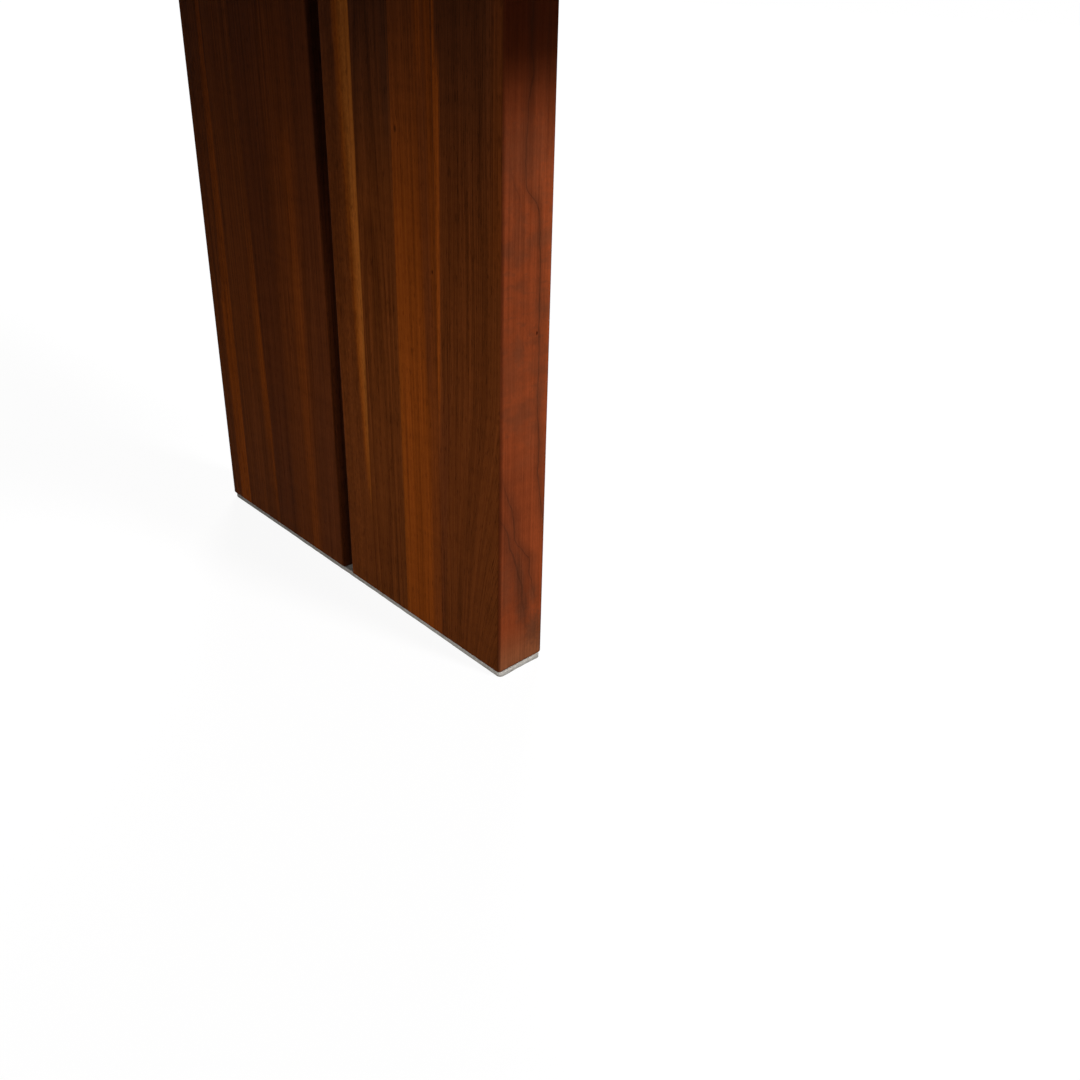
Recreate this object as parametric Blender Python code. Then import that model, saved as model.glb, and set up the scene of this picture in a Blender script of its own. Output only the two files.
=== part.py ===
"""Dining table in solid walnut: a plain top on two split cheeks.

Each cheek is a pair of upright boards that stand a finger's width apart. A dark spline, keyed
into their facing edges, sits back in the gap, so that a shadow line runs down the cheek. Both
boards stand on one felt strip and carry one steel head plate, which is let into the underside of
the top. Steel channels, let in across the grain of the top, keep it flat.

Units are metres. X runs along the table, Y across it and Z up. The origin is on the floor, under
the middle of the top. Front is -Y and right is +X.
"""

import math
from typing import NamedTuple

import bmesh
import bpy
from mathutils import Vector

# Whole table
TABLE_LENGTH = 2.000
TABLE_WIDTH = 1.000
TABLE_HEIGHT = 0.750
TOP_THICKNESS = 0.040
END_OVERHANG = 0.250
EDGE_RADIUS = 0.004

# Clearances and cutting
SEAT_GAP = 0.0003
CUT_OVERRUN = 0.005

# Cheek boards, the spline between them and the felt under them
CHEEK_THICKNESS = 0.055
BOARD_WIDTH = 0.240
BOARD_GAP = 0.015
SPLINE_THICKNESS = 0.020
SPLINE_DEPTH = 0.012
FELT_THICKNESS = 0.005
FELT_SETBACK = 0.0008
FELT_CORNER_RADIUS = 0.0035

# Head plate on each cheek, let into the top
PLATE_THICKNESS = 0.008
PLATE_FLANGE_REACH = 0.060
PLATE_END_SETBACK = 0.0275
PLATE_CORNER_RADIUS = 0.012
PLATE_POCKET_CLEARANCE = 0.001

# Countersunk bolts that hold the boards up against their head plate
CHEEK_BOLTS_PER_BOARD = 2
CHEEK_BOLT_DIAMETER = 0.008
CHEEK_BOLT_LENGTH = 0.045
CHEEK_BOLT_HEAD_DIAMETER = 0.0165
CHEEK_BOLT_HEAD_SINK = 0.0004
CHEEK_BOLT_KEY_FLATS = 0.005
CHEEK_BOLT_KEY_DEPTH = 0.003
CHEEK_BOLT_SPLINE_MARGIN = 0.034
CHEEK_BOLT_PLATE_MARGIN = 0.040
CHEEK_INSERT_LENGTH = 0.030

# Flanged bolts that hold the top down on the head plates
TOP_BOLTS_PER_FLANGE = 2
TOP_BOLT_DIAMETER = 0.008
TOP_BOLT_FLANGE_DIAMETER = 0.018
TOP_BOLT_FLANGE_HEIGHT = 0.0015
TOP_BOLT_HEAD_DIAMETER = 0.014
TOP_BOLT_HEAD_HEIGHT = 0.0050
TOP_BOLT_KEY_FLATS = 0.005
TOP_BOLT_KEY_DEPTH = 0.0030
TOP_BOLT_PLATE_MARGIN = 0.060

# Steel channels let into the underside of the top, across its grain
CHANNEL_COUNT = 3
CHANNEL_WIDTH = 0.038
CHANNEL_HEIGHT = 0.014
CHANNEL_WALL = 0.003
CHANNEL_BEND_RADIUS = 0.0045
CHANNEL_SIDE_SETBACK = 0.100
CHANNEL_END_CLEARANCE = 0.0008

# Flanged screws that hold the channels
SCREWS_PER_CHANNEL = 4
SCREW_DIAMETER = 0.006
SCREW_POINT_LENGTH = 0.005
SCREW_FLANGE_DIAMETER = 0.015
SCREW_FLANGE_HEIGHT = 0.0012
SCREW_HEAD_DIAMETER = 0.011
SCREW_HEAD_HEIGHT = 0.0038
SCREW_KEY_FLATS = 0.004
SCREW_KEY_DEPTH = 0.0022
SCREW_CHANNEL_MARGIN = 0.055

# What all the fasteners share
BORE_COVER = 0.012
BORE_END_ROOM = 0.004
INSERT_WALL = 0.002
INSERT_SINK = 0.0006
HOLE_CLEARANCE = 0.0005
SLOT_TRAVEL = 0.006
KEY_RIM = 0.0012
BOLT_TIP_RADIUS_SHARE = 0.80
BOLT_TIP_LENGTH_SHARE = 0.12
SCREW_POINT_RADIUS_SHARE = 0.25

# Smoothness of round work
ROUND_SIDES = 12
CORNER_STEPS = 3
DOME_STEPS = 2
SHARP_DEGREES = 35

# Places that follow from the sizes above
UNDERSIDE = TABLE_HEIGHT - TOP_THICKNESS
CHEEK_WIDTH = 2 * BOARD_WIDTH + BOARD_GAP
CHEEK_X = TABLE_LENGTH / 2 - END_OVERHANG - CHEEK_THICKNESS / 2
BOARD_FOOT = FELT_THICKNESS + SEAT_GAP
BOARD_HEIGHT = UNDERSIDE - SEAT_GAP - BOARD_FOOT
BOARD_Y = (BOARD_GAP + BOARD_WIDTH) / 2
PLATE_WIDTH = CHEEK_THICKNESS + 2 * PLATE_FLANGE_REACH
PLATE_LENGTH = CHEEK_WIDTH - 2 * PLATE_END_SETBACK
FLANGE_X = (CHEEK_THICKNESS + PLATE_FLANGE_REACH) / 2
POCKET_DEPTH = PLATE_THICKNESS + SEAT_GAP
CHANNEL_LENGTH = TABLE_WIDTH - 2 * CHANNEL_SIDE_SETBACK
CHANNEL_SPACING = (2 * CHEEK_X - CHEEK_THICKNESS) / (CHANNEL_COUNT + 1)
BORE_DEPTH = TOP_THICKNESS - BORE_COVER
FASTENER_REACH = BORE_DEPTH - BORE_END_ROOM


class Ring(NamedTuple):
    """One ring of a turned piece. On a hexagon ring, radius is half the distance across flats."""

    radius: float
    z: float
    hexagon: bool = False


def remove_default_objects():
    """Empties the scene."""
    for obj in list(bpy.data.objects):
        bpy.data.objects.remove(obj, do_unlink=True)


def make_material(name, colour, roughness, metallic=0.0):
    """A plain Principled finish."""
    material = bpy.data.materials.new(name)
    material.use_nodes = True
    shader = material.node_tree.nodes["Principled BSDF"]
    shader.inputs["Base Color"].default_value = (*colour, 1.0)
    shader.inputs["Roughness"].default_value = roughness
    shader.inputs["Metallic"].default_value = metallic
    material.diffuse_color = (*colour, 1.0)
    return material


def make_mesh(name, bm, material=None):
    """Turns a bmesh into a mesh with its faces out and its round work shaded smooth."""
    bmesh.ops.recalc_face_normals(bm, faces=bm.faces)
    mesh = bpy.data.meshes.new(name)
    bm.to_mesh(mesh)
    bm.free()
    mesh.shade_smooth()
    mesh.set_sharp_from_angle(angle=math.radians(SHARP_DEGREES))
    if material:
        mesh.materials.append(material)
    return mesh


def make_carrier(name, location):
    """An empty that carries a sub-assembly."""
    carrier = bpy.data.objects.new(name, None)
    bpy.context.scene.collection.objects.link(carrier)
    carrier.location = location
    return carrier


def place(name, mesh, carrier, location=(0, 0, 0), turn=0.0):
    """Adds one named piece to its carrier."""
    obj = bpy.data.objects.new(name, mesh)
    bpy.context.scene.collection.objects.link(obj)
    obj.parent = carrier
    obj.location = location
    obj.rotation_euler = (0, 0, turn)
    return obj


def cut(target, cutter_meshes):
    """Cuts each mesh out of the target, one Boolean after another."""
    for mesh in cutter_meshes:
        cutter = place(f"{target.name}_{mesh.name}", mesh, target)
        cutter.hide_render = True
        cutter.display_type = "WIRE"
        modifier = target.modifiers.new(mesh.name, "BOOLEAN")
        modifier.operation = "DIFFERENCE"
        modifier.solver = "EXACT"
        modifier.object = cutter


def spread(count, first, last):
    """Even places from first to last, or the middle where there is one place."""
    if count == 1:
        return [(first + last) / 2]
    return [first + (last - first) * i / (count - 1) for i in range(count)]


# Outlines and the solids made from them


def arc(x, y, radius, start, steps, sweep=math.pi / 2):
    """Points along an arc about (x, y)."""
    angles = [start + sweep * i / steps for i in range(steps + 1)]
    return [(x + radius * math.cos(a), y + radius * math.sin(a)) for a in angles]


def rounded_rectangle(width, length, radius):
    """A rectangle about the origin with round corners."""
    x = width / 2 - radius
    y = length / 2 - radius
    corners = ((x, y), (-x, y), (-x, -y), (x, -y))
    points = []
    for quarter, (cx, cy) in enumerate(corners):
        points += arc(cx, cy, radius, quarter * math.pi / 2, CORNER_STEPS)
    return points


def slot_outline(width):
    """A slot about the origin with round ends, longer along Y by the travel that it allows."""
    half_turn = ROUND_SIDES // 2
    far = arc(0, SLOT_TRAVEL / 2, width / 2, 0, half_turn, math.pi)
    near = arc(0, -SLOT_TRAVEL / 2, width / 2, math.pi, half_turn, math.pi)
    return far + near


def add_pulled(bm, corners, pull):
    """Adds the solid that a flat face sweeps as it is pulled."""
    face = bm.faces.new([bm.verts.new(corner) for corner in corners])
    swept = bmesh.ops.extrude_face_region(bm, geom=[face])["geom"]
    moved = [item for item in swept if isinstance(item, bmesh.types.BMVert)]
    bmesh.ops.translate(bm, verts=moved, vec=pull)


def add_upright(bm, outline, low, high, centre=(0, 0)):
    """Adds the solid of an (x, y) outline between two heights."""
    corners = [(x + centre[0], y + centre[1], low) for x, y in outline]
    add_pulled(bm, corners, (0, 0, high - low))


def add_beam(bm, section, length, x_middle=0.0):
    """Adds the solid of an (x, z) section that runs along Y."""
    corners = [(x + x_middle, -length / 2, z) for x, z in section]
    add_pulled(bm, corners, (0, length, 0))


def ring_corner(ring, side):
    """Where one corner of a ring lies."""
    angle = 2 * math.pi * side / ROUND_SIDES
    reach = ring.radius
    if ring.hexagon:
        from_flat = (angle + math.pi / 6) % (math.pi / 3) - math.pi / 6
        reach = ring.radius / math.cos(from_flat)
    return Vector((reach * math.cos(angle), reach * math.sin(angle), ring.z))


def add_turned(bm, rings, centre=(0, 0, 0), hollow=False):
    """Adds a turned solid. A hollow one joins its last ring to its first."""
    middle = Vector(centre)
    loops = []
    for ring in rings:
        corners = [ring_corner(ring, side) + middle for side in range(ROUND_SIDES)]
        loops.append([bm.verts.new(corner) for corner in corners])
    pairs = list(zip(loops, loops[1:]))
    if hollow:
        pairs.append((loops[-1], loops[0]))
    else:
        bm.faces.new(loops[0])
        bm.faces.new(loops[-1])
    for low, high in pairs:
        for side in range(ROUND_SIDES):
            after = (side + 1) % ROUND_SIDES
            bm.faces.new((low[side], low[after], high[after], high[side]))


def turned_mesh(name, rings, places=((0, 0, 0),), material=None, hollow=False):
    """A mesh with the same turned solid at each place."""
    bm = bmesh.new()
    for centre in places:
        add_turned(bm, rings, centre, hollow)
    return make_mesh(name, bm, material)


def eased_block(name, width, length, height, material, ease_top=True):
    """A block that stands on z 0 with eased edges, apart from its top edges where it is capped."""
    bm = bmesh.new()
    bmesh.ops.create_cube(bm, size=1.0)
    bmesh.ops.scale(bm, vec=(width, length, height), verts=bm.verts)
    bmesh.ops.translate(bm, vec=(0, 0, height / 2), verts=bm.verts)
    eased = [e for e in bm.edges if ease_top or min(v.co.z for v in e.verts) < height / 2]
    bmesh.ops.bevel(
        bm, geom=eased, offset=EDGE_RADIUS, segments=CORNER_STEPS, profile=0.5, affect="EDGES"
    )
    return make_mesh(name, bm, material)


# Where the fasteners stand


def cheek_bolt_rows():
    """Distances from the middle of the gap to the bolts of one board."""
    first = BOARD_GAP / 2 + SPLINE_DEPTH + CHEEK_BOLT_SPLINE_MARGIN
    last = PLATE_LENGTH / 2 - CHEEK_BOLT_PLATE_MARGIN
    return spread(CHEEK_BOLTS_PER_BOARD, first, last)


def top_bolt_places(x_middle=0.0):
    """Places of the bolts in both flanges of a head plate, as (x, y)."""
    last = PLATE_LENGTH / 2 - TOP_BOLT_PLATE_MARGIN
    rows = spread(TOP_BOLTS_PER_FLANGE, -last, last)
    return [(x_middle + side * FLANGE_X, y) for side in (-1, 1) for y in rows]


def screw_rows():
    """Distances along a channel from its middle to its screws."""
    last = CHANNEL_LENGTH / 2 - SCREW_CHANNEL_MARGIN
    return spread(SCREWS_PER_CHANNEL, -last, last)


def channel_rows():
    """Where along the table each channel lies."""
    half = (CHANNEL_COUNT - 1) / 2
    return [(i - half) * CHANNEL_SPACING for i in range(CHANNEL_COUNT)]


# Fasteners


def running_fit(diameter):
    """Radius of a bore that a shank passes with the seat gap to spare."""
    return diameter / 2 + SEAT_GAP


def insert_radius(bolt_diameter):
    """Outer radius of the threaded insert for a bolt."""
    return running_fit(bolt_diameter) + INSERT_WALL


def bolt_tip(diameter, end):
    """The chamfered end of a bolt, from its shank to its tip. The sign of end is its direction."""
    chamfer = math.copysign(BOLT_TIP_LENGTH_SHARE * diameter, end)
    tip_radius = BOLT_TIP_RADIUS_SHARE * diameter / 2
    return [Ring(diameter / 2, end - chamfer), Ring(tip_radius, end)]


def flanged_head(flange, flange_height, head, head_height, key_flats, key_depth):
    """A domed and flanged head that hangs below z 0, from its underside to its key socket."""
    rim = key_flats / 2 / math.cos(math.pi / 6) + KEY_RIM
    rings = [Ring(flange / 2, 0), Ring(flange / 2, -flange_height)]
    for step in range(DOME_STEPS + 1):
        climb = step / DOME_STEPS * math.pi / 2
        z = -flange_height - (head_height - flange_height) * math.sin(climb)
        rings.append(Ring(rim + (head / 2 - rim) * math.cos(climb), z))
    rings.append(Ring(key_flats / 2, -head_height, True))
    rings.append(Ring(key_flats / 2, key_depth - head_height, True))
    return rings


def cheek_bolt_mesh(finish):
    """A countersunk bolt that points down, with the top of its head at z 0."""
    shank = CHEEK_BOLT_DIAMETER / 2
    head = CHEEK_BOLT_HEAD_DIAMETER / 2
    key = CHEEK_BOLT_KEY_FLATS / 2
    rings = [
        Ring(key, -CHEEK_BOLT_KEY_DEPTH, True),
        Ring(key, 0, True),
        Ring(head, 0),
        Ring(shank, shank - head),
        *bolt_tip(CHEEK_BOLT_DIAMETER, -CHEEK_BOLT_LENGTH),
    ]
    return turned_mesh("cheek_bolt", rings, material=finish)


def top_bolt_mesh(finish):
    """A flanged bolt that points up, with the seat of its head at z 0."""
    head = flanged_head(
        TOP_BOLT_FLANGE_DIAMETER,
        TOP_BOLT_FLANGE_HEIGHT,
        TOP_BOLT_HEAD_DIAMETER,
        TOP_BOLT_HEAD_HEIGHT,
        TOP_BOLT_KEY_FLATS,
        TOP_BOLT_KEY_DEPTH,
    )
    tip = bolt_tip(TOP_BOLT_DIAMETER, FASTENER_REACH)
    rings = [*reversed(tip), Ring(TOP_BOLT_DIAMETER / 2, 0), *head]
    return turned_mesh("top_bolt", rings, material=finish)


def screw_mesh(finish):
    """A flanged and pointed screw that points up, with the seat of its head at z 0."""
    head = flanged_head(
        SCREW_FLANGE_DIAMETER,
        SCREW_FLANGE_HEIGHT,
        SCREW_HEAD_DIAMETER,
        SCREW_HEAD_HEIGHT,
        SCREW_KEY_FLATS,
        SCREW_KEY_DEPTH,
    )
    shank = SCREW_DIAMETER / 2
    rings = [
        Ring(SCREW_POINT_RADIUS_SHARE * shank, FASTENER_REACH),
        Ring(shank, FASTENER_REACH - SCREW_POINT_LENGTH),
        Ring(shank, 0),
        *head,
    ]
    return turned_mesh("channel_screw", rings, material=finish)


def insert_mesh(name, bolt_diameter, mouth, end, finish):
    """A threaded insert between two heights."""
    inner = running_fit(bolt_diameter)
    outer = insert_radius(bolt_diameter)
    rings = [Ring(inner, mouth), Ring(outer, mouth), Ring(outer, end), Ring(inner, end)]
    return turned_mesh(name, rings, material=finish, hollow=True)


def cheek_insert_mesh(finish):
    """The insert in a board's end grain, with z 0 at the top of the board."""
    end = -INSERT_SINK - CHEEK_INSERT_LENGTH
    return insert_mesh("cheek_insert", CHEEK_BOLT_DIAMETER, -INSERT_SINK, end, finish)


def top_insert_mesh(finish):
    """The insert in the top, with z 0 at the underside of the top."""
    mouth = POCKET_DEPTH + INSERT_SINK
    return insert_mesh("top_insert", TOP_BOLT_DIAMETER, mouth, FASTENER_REACH, finish)


# Cheek


def board_cutters():
    """The spline's groove and the bores for the inserts, on a board with its gap edge at +Y."""
    groove = bmesh.new()
    half = SPLINE_THICKNESS / 2 + SEAT_GAP
    floor = BOARD_WIDTH / 2 - SPLINE_DEPTH - SEAT_GAP
    mouth = BOARD_WIDTH / 2 + CUT_OVERRUN
    outline = ((-half, floor), (half, floor), (half, mouth), (-half, mouth))
    add_upright(groove, outline, -CUT_OVERRUN, BOARD_HEIGHT + CUT_OVERRUN)

    bolt_end = PLATE_THICKNESS - CHEEK_BOLT_HEAD_SINK - CHEEK_BOLT_LENGTH
    bore = insert_radius(CHEEK_BOLT_DIAMETER) + SEAT_GAP
    rings = (
        Ring(bore, BOARD_HEIGHT + bolt_end - BORE_END_ROOM),
        Ring(bore, BOARD_HEIGHT + CUT_OVERRUN),
    )
    places = [(0, BOARD_Y - row, 0) for row in cheek_bolt_rows()]
    return [make_mesh("spline_groove", groove), turned_mesh("insert_bores", rings, places)]


def spline_mesh(finish):
    """The spline, from the foot of the boards to the head plate."""
    bm = bmesh.new()
    x = SPLINE_THICKNESS / 2
    y = BOARD_GAP / 2 + SPLINE_DEPTH
    add_upright(bm, ((-x, -y), (x, -y), (x, y), (-x, y)), BOARD_FOOT, BOARD_FOOT + BOARD_HEIGHT)
    return make_mesh("cheek_spline", bm, finish)


def felt_mesh(finish):
    """The felt strip under both boards of a cheek."""
    bm = bmesh.new()
    width = CHEEK_THICKNESS - 2 * FELT_SETBACK
    length = CHEEK_WIDTH - 2 * FELT_SETBACK
    add_upright(bm, rounded_rectangle(width, length, FELT_CORNER_RADIUS), 0, FELT_THICKNESS)
    return make_mesh("felt_strip", bm, finish)


def head_plate_mesh(finish):
    """The head plate before its holes are cut, standing on z 0."""
    bm = bmesh.new()
    outline = rounded_rectangle(PLATE_WIDTH, PLATE_LENGTH, PLATE_CORNER_RADIUS)
    add_upright(bm, outline, 0, PLATE_THICKNESS)
    return make_mesh("head_plate", bm, finish)


def head_plate_cutters():
    """Countersunk holes over the boards, and slots that let the top swell across its grain."""
    hole = CHEEK_BOLT_DIAMETER / 2 + HOLE_CLEARANCE
    head = CHEEK_BOLT_HEAD_DIAMETER / 2 + SEAT_GAP
    head_top = PLATE_THICKNESS - CHEEK_BOLT_HEAD_SINK
    rings = (
        Ring(hole, -CUT_OVERRUN),
        Ring(hole, head_top - (head - hole)),
        Ring(head, head_top),
        Ring(head, PLATE_THICKNESS + CUT_OVERRUN),
    )
    places = [(0, side * row, 0) for side in (-1, 1) for row in cheek_bolt_rows()]

    slots = bmesh.new()
    outline = slot_outline(TOP_BOLT_DIAMETER + 2 * HOLE_CLEARANCE)
    for centre in top_bolt_places():
        add_upright(slots, outline, -CUT_OVERRUN, PLATE_THICKNESS + CUT_OVERRUN, centre)
    return [turned_mesh("bolt_holes", rings, places), make_mesh("bolt_slots", slots)]


def build_cheeks(finishes):
    """Both cheeks, each with its felt, head plate and fasteners."""
    walnut = finishes["walnut"]
    board = eased_block(
        "cheek_board", CHEEK_THICKNESS, BOARD_WIDTH, BOARD_HEIGHT, walnut, ease_top=False
    )
    cuts = board_cutters()
    spline = spline_mesh(finishes["dark_spline"])
    felt = felt_mesh(finishes["felt"])
    plate = head_plate_mesh(finishes["black_steel"])
    plate_cuts = head_plate_cutters()
    cheek_bolt = cheek_bolt_mesh(finishes["zinc"])
    cheek_insert = cheek_insert_mesh(finishes["brass"])
    top_bolt = top_bolt_mesh(finishes["black_bolt"])
    top_insert = top_insert_mesh(finishes["brass"])

    head_top = UNDERSIDE + PLATE_THICKNESS - CHEEK_BOLT_HEAD_SINK
    for side, cheek_x in (("left", -CHEEK_X), ("right", CHEEK_X)):
        cheek = make_carrier(f"{side}_cheek", (cheek_x, 0, 0))
        for end, toward, turn in (("front", -1, 0.0), ("rear", 1, math.pi)):
            stem = f"{side}_{end}"
            at = (0, toward * BOARD_Y, BOARD_FOOT)
            cut(place(f"{stem}_board", board, cheek, at, turn), cuts)
            for number, row in enumerate(cheek_bolt_rows(), 1):
                y = toward * row
                place(f"{stem}_cheek_bolt_{number}", cheek_bolt, cheek, (0, y, head_top))
                insert_at = (0, y, BOARD_FOOT + BOARD_HEIGHT)
                place(f"{stem}_cheek_insert_{number}", cheek_insert, cheek, insert_at)
        place(f"{side}_spline", spline, cheek)
        place(f"{side}_felt_strip", felt, cheek)
        cut(place(f"{side}_head_plate", plate, cheek, (0, 0, UNDERSIDE)), plate_cuts)
        for number, (x, y) in enumerate(top_bolt_places(), 1):
            place(f"{side}_top_bolt_{number}", top_bolt, cheek, (x, y, UNDERSIDE - SEAT_GAP))
            place(f"{side}_top_insert_{number}", top_insert, cheek, (x, y, UNDERSIDE))


# Top and channels


def inner_bends(ease):
    """The inside of a channel's section, from its right leg to its left, drawn in by ease."""
    centre_x = CHANNEL_WIDTH / 2 - CHANNEL_BEND_RADIUS
    radius = CHANNEL_BEND_RADIUS - CHANNEL_WALL - ease
    rise = CHANNEL_HEIGHT + ease
    right = arc(centre_x, CHANNEL_BEND_RADIUS, radius, 0, CORNER_STEPS, -math.pi / 2)
    left = arc(-centre_x, CHANNEL_BEND_RADIUS, radius, -math.pi / 2, CORNER_STEPS, -math.pi / 2)
    inner_x = centre_x + radius
    return [(inner_x, rise), *right, *left, (-inner_x, rise)]


def channel_section():
    """The section of a bent steel channel, its web down on z 0."""
    half = CHANNEL_WIDTH / 2
    bend = CHANNEL_BEND_RADIUS
    left = arc(bend - half, bend, bend, math.pi, CORNER_STEPS)
    right = arc(half - bend, bend, bend, 1.5 * math.pi, CORNER_STEPS)
    return [*inner_bends(0), (-half, CHANNEL_HEIGHT), *left, *right, (half, CHANNEL_HEIGHT)]


def channel_groove_section():
    """The groove for a channel: a shallow trench for the web and a slot for each leg."""
    half = CHANNEL_WIDTH / 2 + SEAT_GAP
    rise = CHANNEL_HEIGHT + SEAT_GAP
    outside = [(-half, rise), (-half, -CUT_OVERRUN), (half, -CUT_OVERRUN), (half, rise)]
    return [*inner_bends(SEAT_GAP), *outside]


def channel_slots_mesh():
    """The slots in a channel's web, one for each screw."""
    bm = bmesh.new()
    outline = slot_outline(SCREW_DIAMETER + 2 * HOLE_CLEARANCE)
    for row in screw_rows():
        add_upright(bm, outline, -CUT_OVERRUN, CHANNEL_WALL + CUT_OVERRUN, (0, row))
    return make_mesh("screw_slots", bm)


def top_cutters():
    """The recesses for plates and channels, and then the bores that start inside them."""
    recesses = bmesh.new()
    outline = rounded_rectangle(
        PLATE_WIDTH + 2 * PLATE_POCKET_CLEARANCE,
        PLATE_LENGTH + 2 * PLATE_POCKET_CLEARANCE,
        PLATE_CORNER_RADIUS + PLATE_POCKET_CLEARANCE,
    )
    for x in (-CHEEK_X, CHEEK_X):
        add_upright(recesses, outline, -CUT_OVERRUN, POCKET_DEPTH, (x, 0))
    groove_length = CHANNEL_LENGTH + 2 * CHANNEL_END_CLEARANCE
    for x in channel_rows():
        add_beam(recesses, channel_groove_section(), groove_length, x)

    bores = bmesh.new()
    insert_bore = insert_radius(TOP_BOLT_DIAMETER) + SEAT_GAP
    for cheek_x in (-CHEEK_X, CHEEK_X):
        for x, y in top_bolt_places(cheek_x):
            add_turned(bores, (Ring(insert_bore, 0), Ring(insert_bore, BORE_DEPTH)), (x, y, 0))
    pilot = running_fit(SCREW_DIAMETER)
    for x in channel_rows():
        for y in screw_rows():
            add_turned(bores, (Ring(pilot, 0), Ring(pilot, BORE_DEPTH)), (x, y, 0))
    return [make_mesh("recesses", recesses), make_mesh("bores", bores)]


def build_top(finishes):
    """The walnut top, its channels and their screws."""
    carrier = make_carrier("top", (0, 0, UNDERSIDE))
    top = eased_block(
        "table_top", TABLE_LENGTH, TABLE_WIDTH, TOP_THICKNESS, finishes["walnut"]
    )
    cut(place("table_top", top, carrier), top_cutters())

    bm = bmesh.new()
    add_beam(bm, channel_section(), CHANNEL_LENGTH)
    channel = make_mesh("channel", bm, finishes["black_steel"])
    slots = channel_slots_mesh()
    screw = screw_mesh(finishes["black_bolt"])
    for number, x in enumerate(channel_rows(), 1):
        cut(place(f"channel_{number}", channel, carrier, (x, 0, 0)), [slots])
        for row_number, y in enumerate(screw_rows(), 1):
            name = f"channel_{number}_screw_{row_number}"
            place(name, screw, carrier, (x, y, -SEAT_GAP))


def make_finishes():
    """The finishes, by name."""
    return {
        "walnut": make_material("walnut", (0.150, 0.052, 0.022), 0.42),
        "dark_spline": make_material("dark_spline", (0.018, 0.011, 0.008), 0.60),
        "felt": make_material("felt", (0.36, 0.34, 0.31), 0.95),
        "black_steel": make_material("black_steel", (0.020, 0.020, 0.021), 0.48, 0.35),
        "black_bolt": make_material("black_bolt", (0.035, 0.034, 0.033), 0.36, 0.90),
        "zinc": make_material("zinc", (0.55, 0.56, 0.57), 0.34, 1.0),
        "brass": make_material("brass", (0.62, 0.45, 0.20), 0.38, 1.0),
    }


def main():
    """Builds the whole table."""
    remove_default_objects()
    finishes = make_finishes()
    build_cheeks(finishes)
    build_top(finishes)


main()
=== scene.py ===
"""Dining table in solid walnut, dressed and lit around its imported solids.

The table has a plain top on two split cheeks. Each cheek is a pair of upright boards with a dark
gap between them, on one felt strip. Lengths are metres. X runs along the table, Y across it, from
front to rear, and Z up from the floor. Colours are linear.
"""

import logging
import math
import random
from dataclasses import dataclass, field, replace
from enum import Enum
from typing import Any, Callable, Iterable, NamedTuple, Sequence

import bmesh
import bpy
from mathutils import Matrix, Vector


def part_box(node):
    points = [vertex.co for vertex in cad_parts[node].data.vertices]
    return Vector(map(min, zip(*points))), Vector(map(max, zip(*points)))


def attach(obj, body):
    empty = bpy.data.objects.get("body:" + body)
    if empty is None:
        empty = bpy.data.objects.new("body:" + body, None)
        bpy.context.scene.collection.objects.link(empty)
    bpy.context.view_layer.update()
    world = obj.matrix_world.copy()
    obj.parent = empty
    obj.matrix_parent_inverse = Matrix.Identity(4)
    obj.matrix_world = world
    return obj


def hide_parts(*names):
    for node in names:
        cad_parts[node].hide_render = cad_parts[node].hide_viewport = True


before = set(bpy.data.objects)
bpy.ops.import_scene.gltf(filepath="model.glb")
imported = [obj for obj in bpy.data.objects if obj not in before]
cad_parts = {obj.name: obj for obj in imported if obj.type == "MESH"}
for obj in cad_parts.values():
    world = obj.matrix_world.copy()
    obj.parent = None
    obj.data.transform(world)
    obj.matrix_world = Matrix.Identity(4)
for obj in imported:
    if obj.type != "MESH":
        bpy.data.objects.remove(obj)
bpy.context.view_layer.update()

log = logging.getLogger("dining_table")

BODY = "root"
SIDES = ("left", "right")
ENDS = ("front", "rear")
WELD = 0.000002
STRAIGHT = 0.99999
QUARTER = math.pi / 2

Colour = tuple[float, float, float]
Point2 = tuple[float, float]


# Node trees


def operator(operation: str, reflected: bool = False) -> Callable[["Signal", Any], "Signal"]:
    """Makes the method of Signal that an operator calls.

    Args:
        operation: the Math node's operation.
        reflected: whether the other value comes first.

    Returns:
        The method.
    """

    def method(self: "Signal", other: Any) -> "Signal":
        """Adds the node for the operator."""
        values = (other, self) if reflected else (self, other)
        return self.sum_of(operation, *values)

    return method


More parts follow.
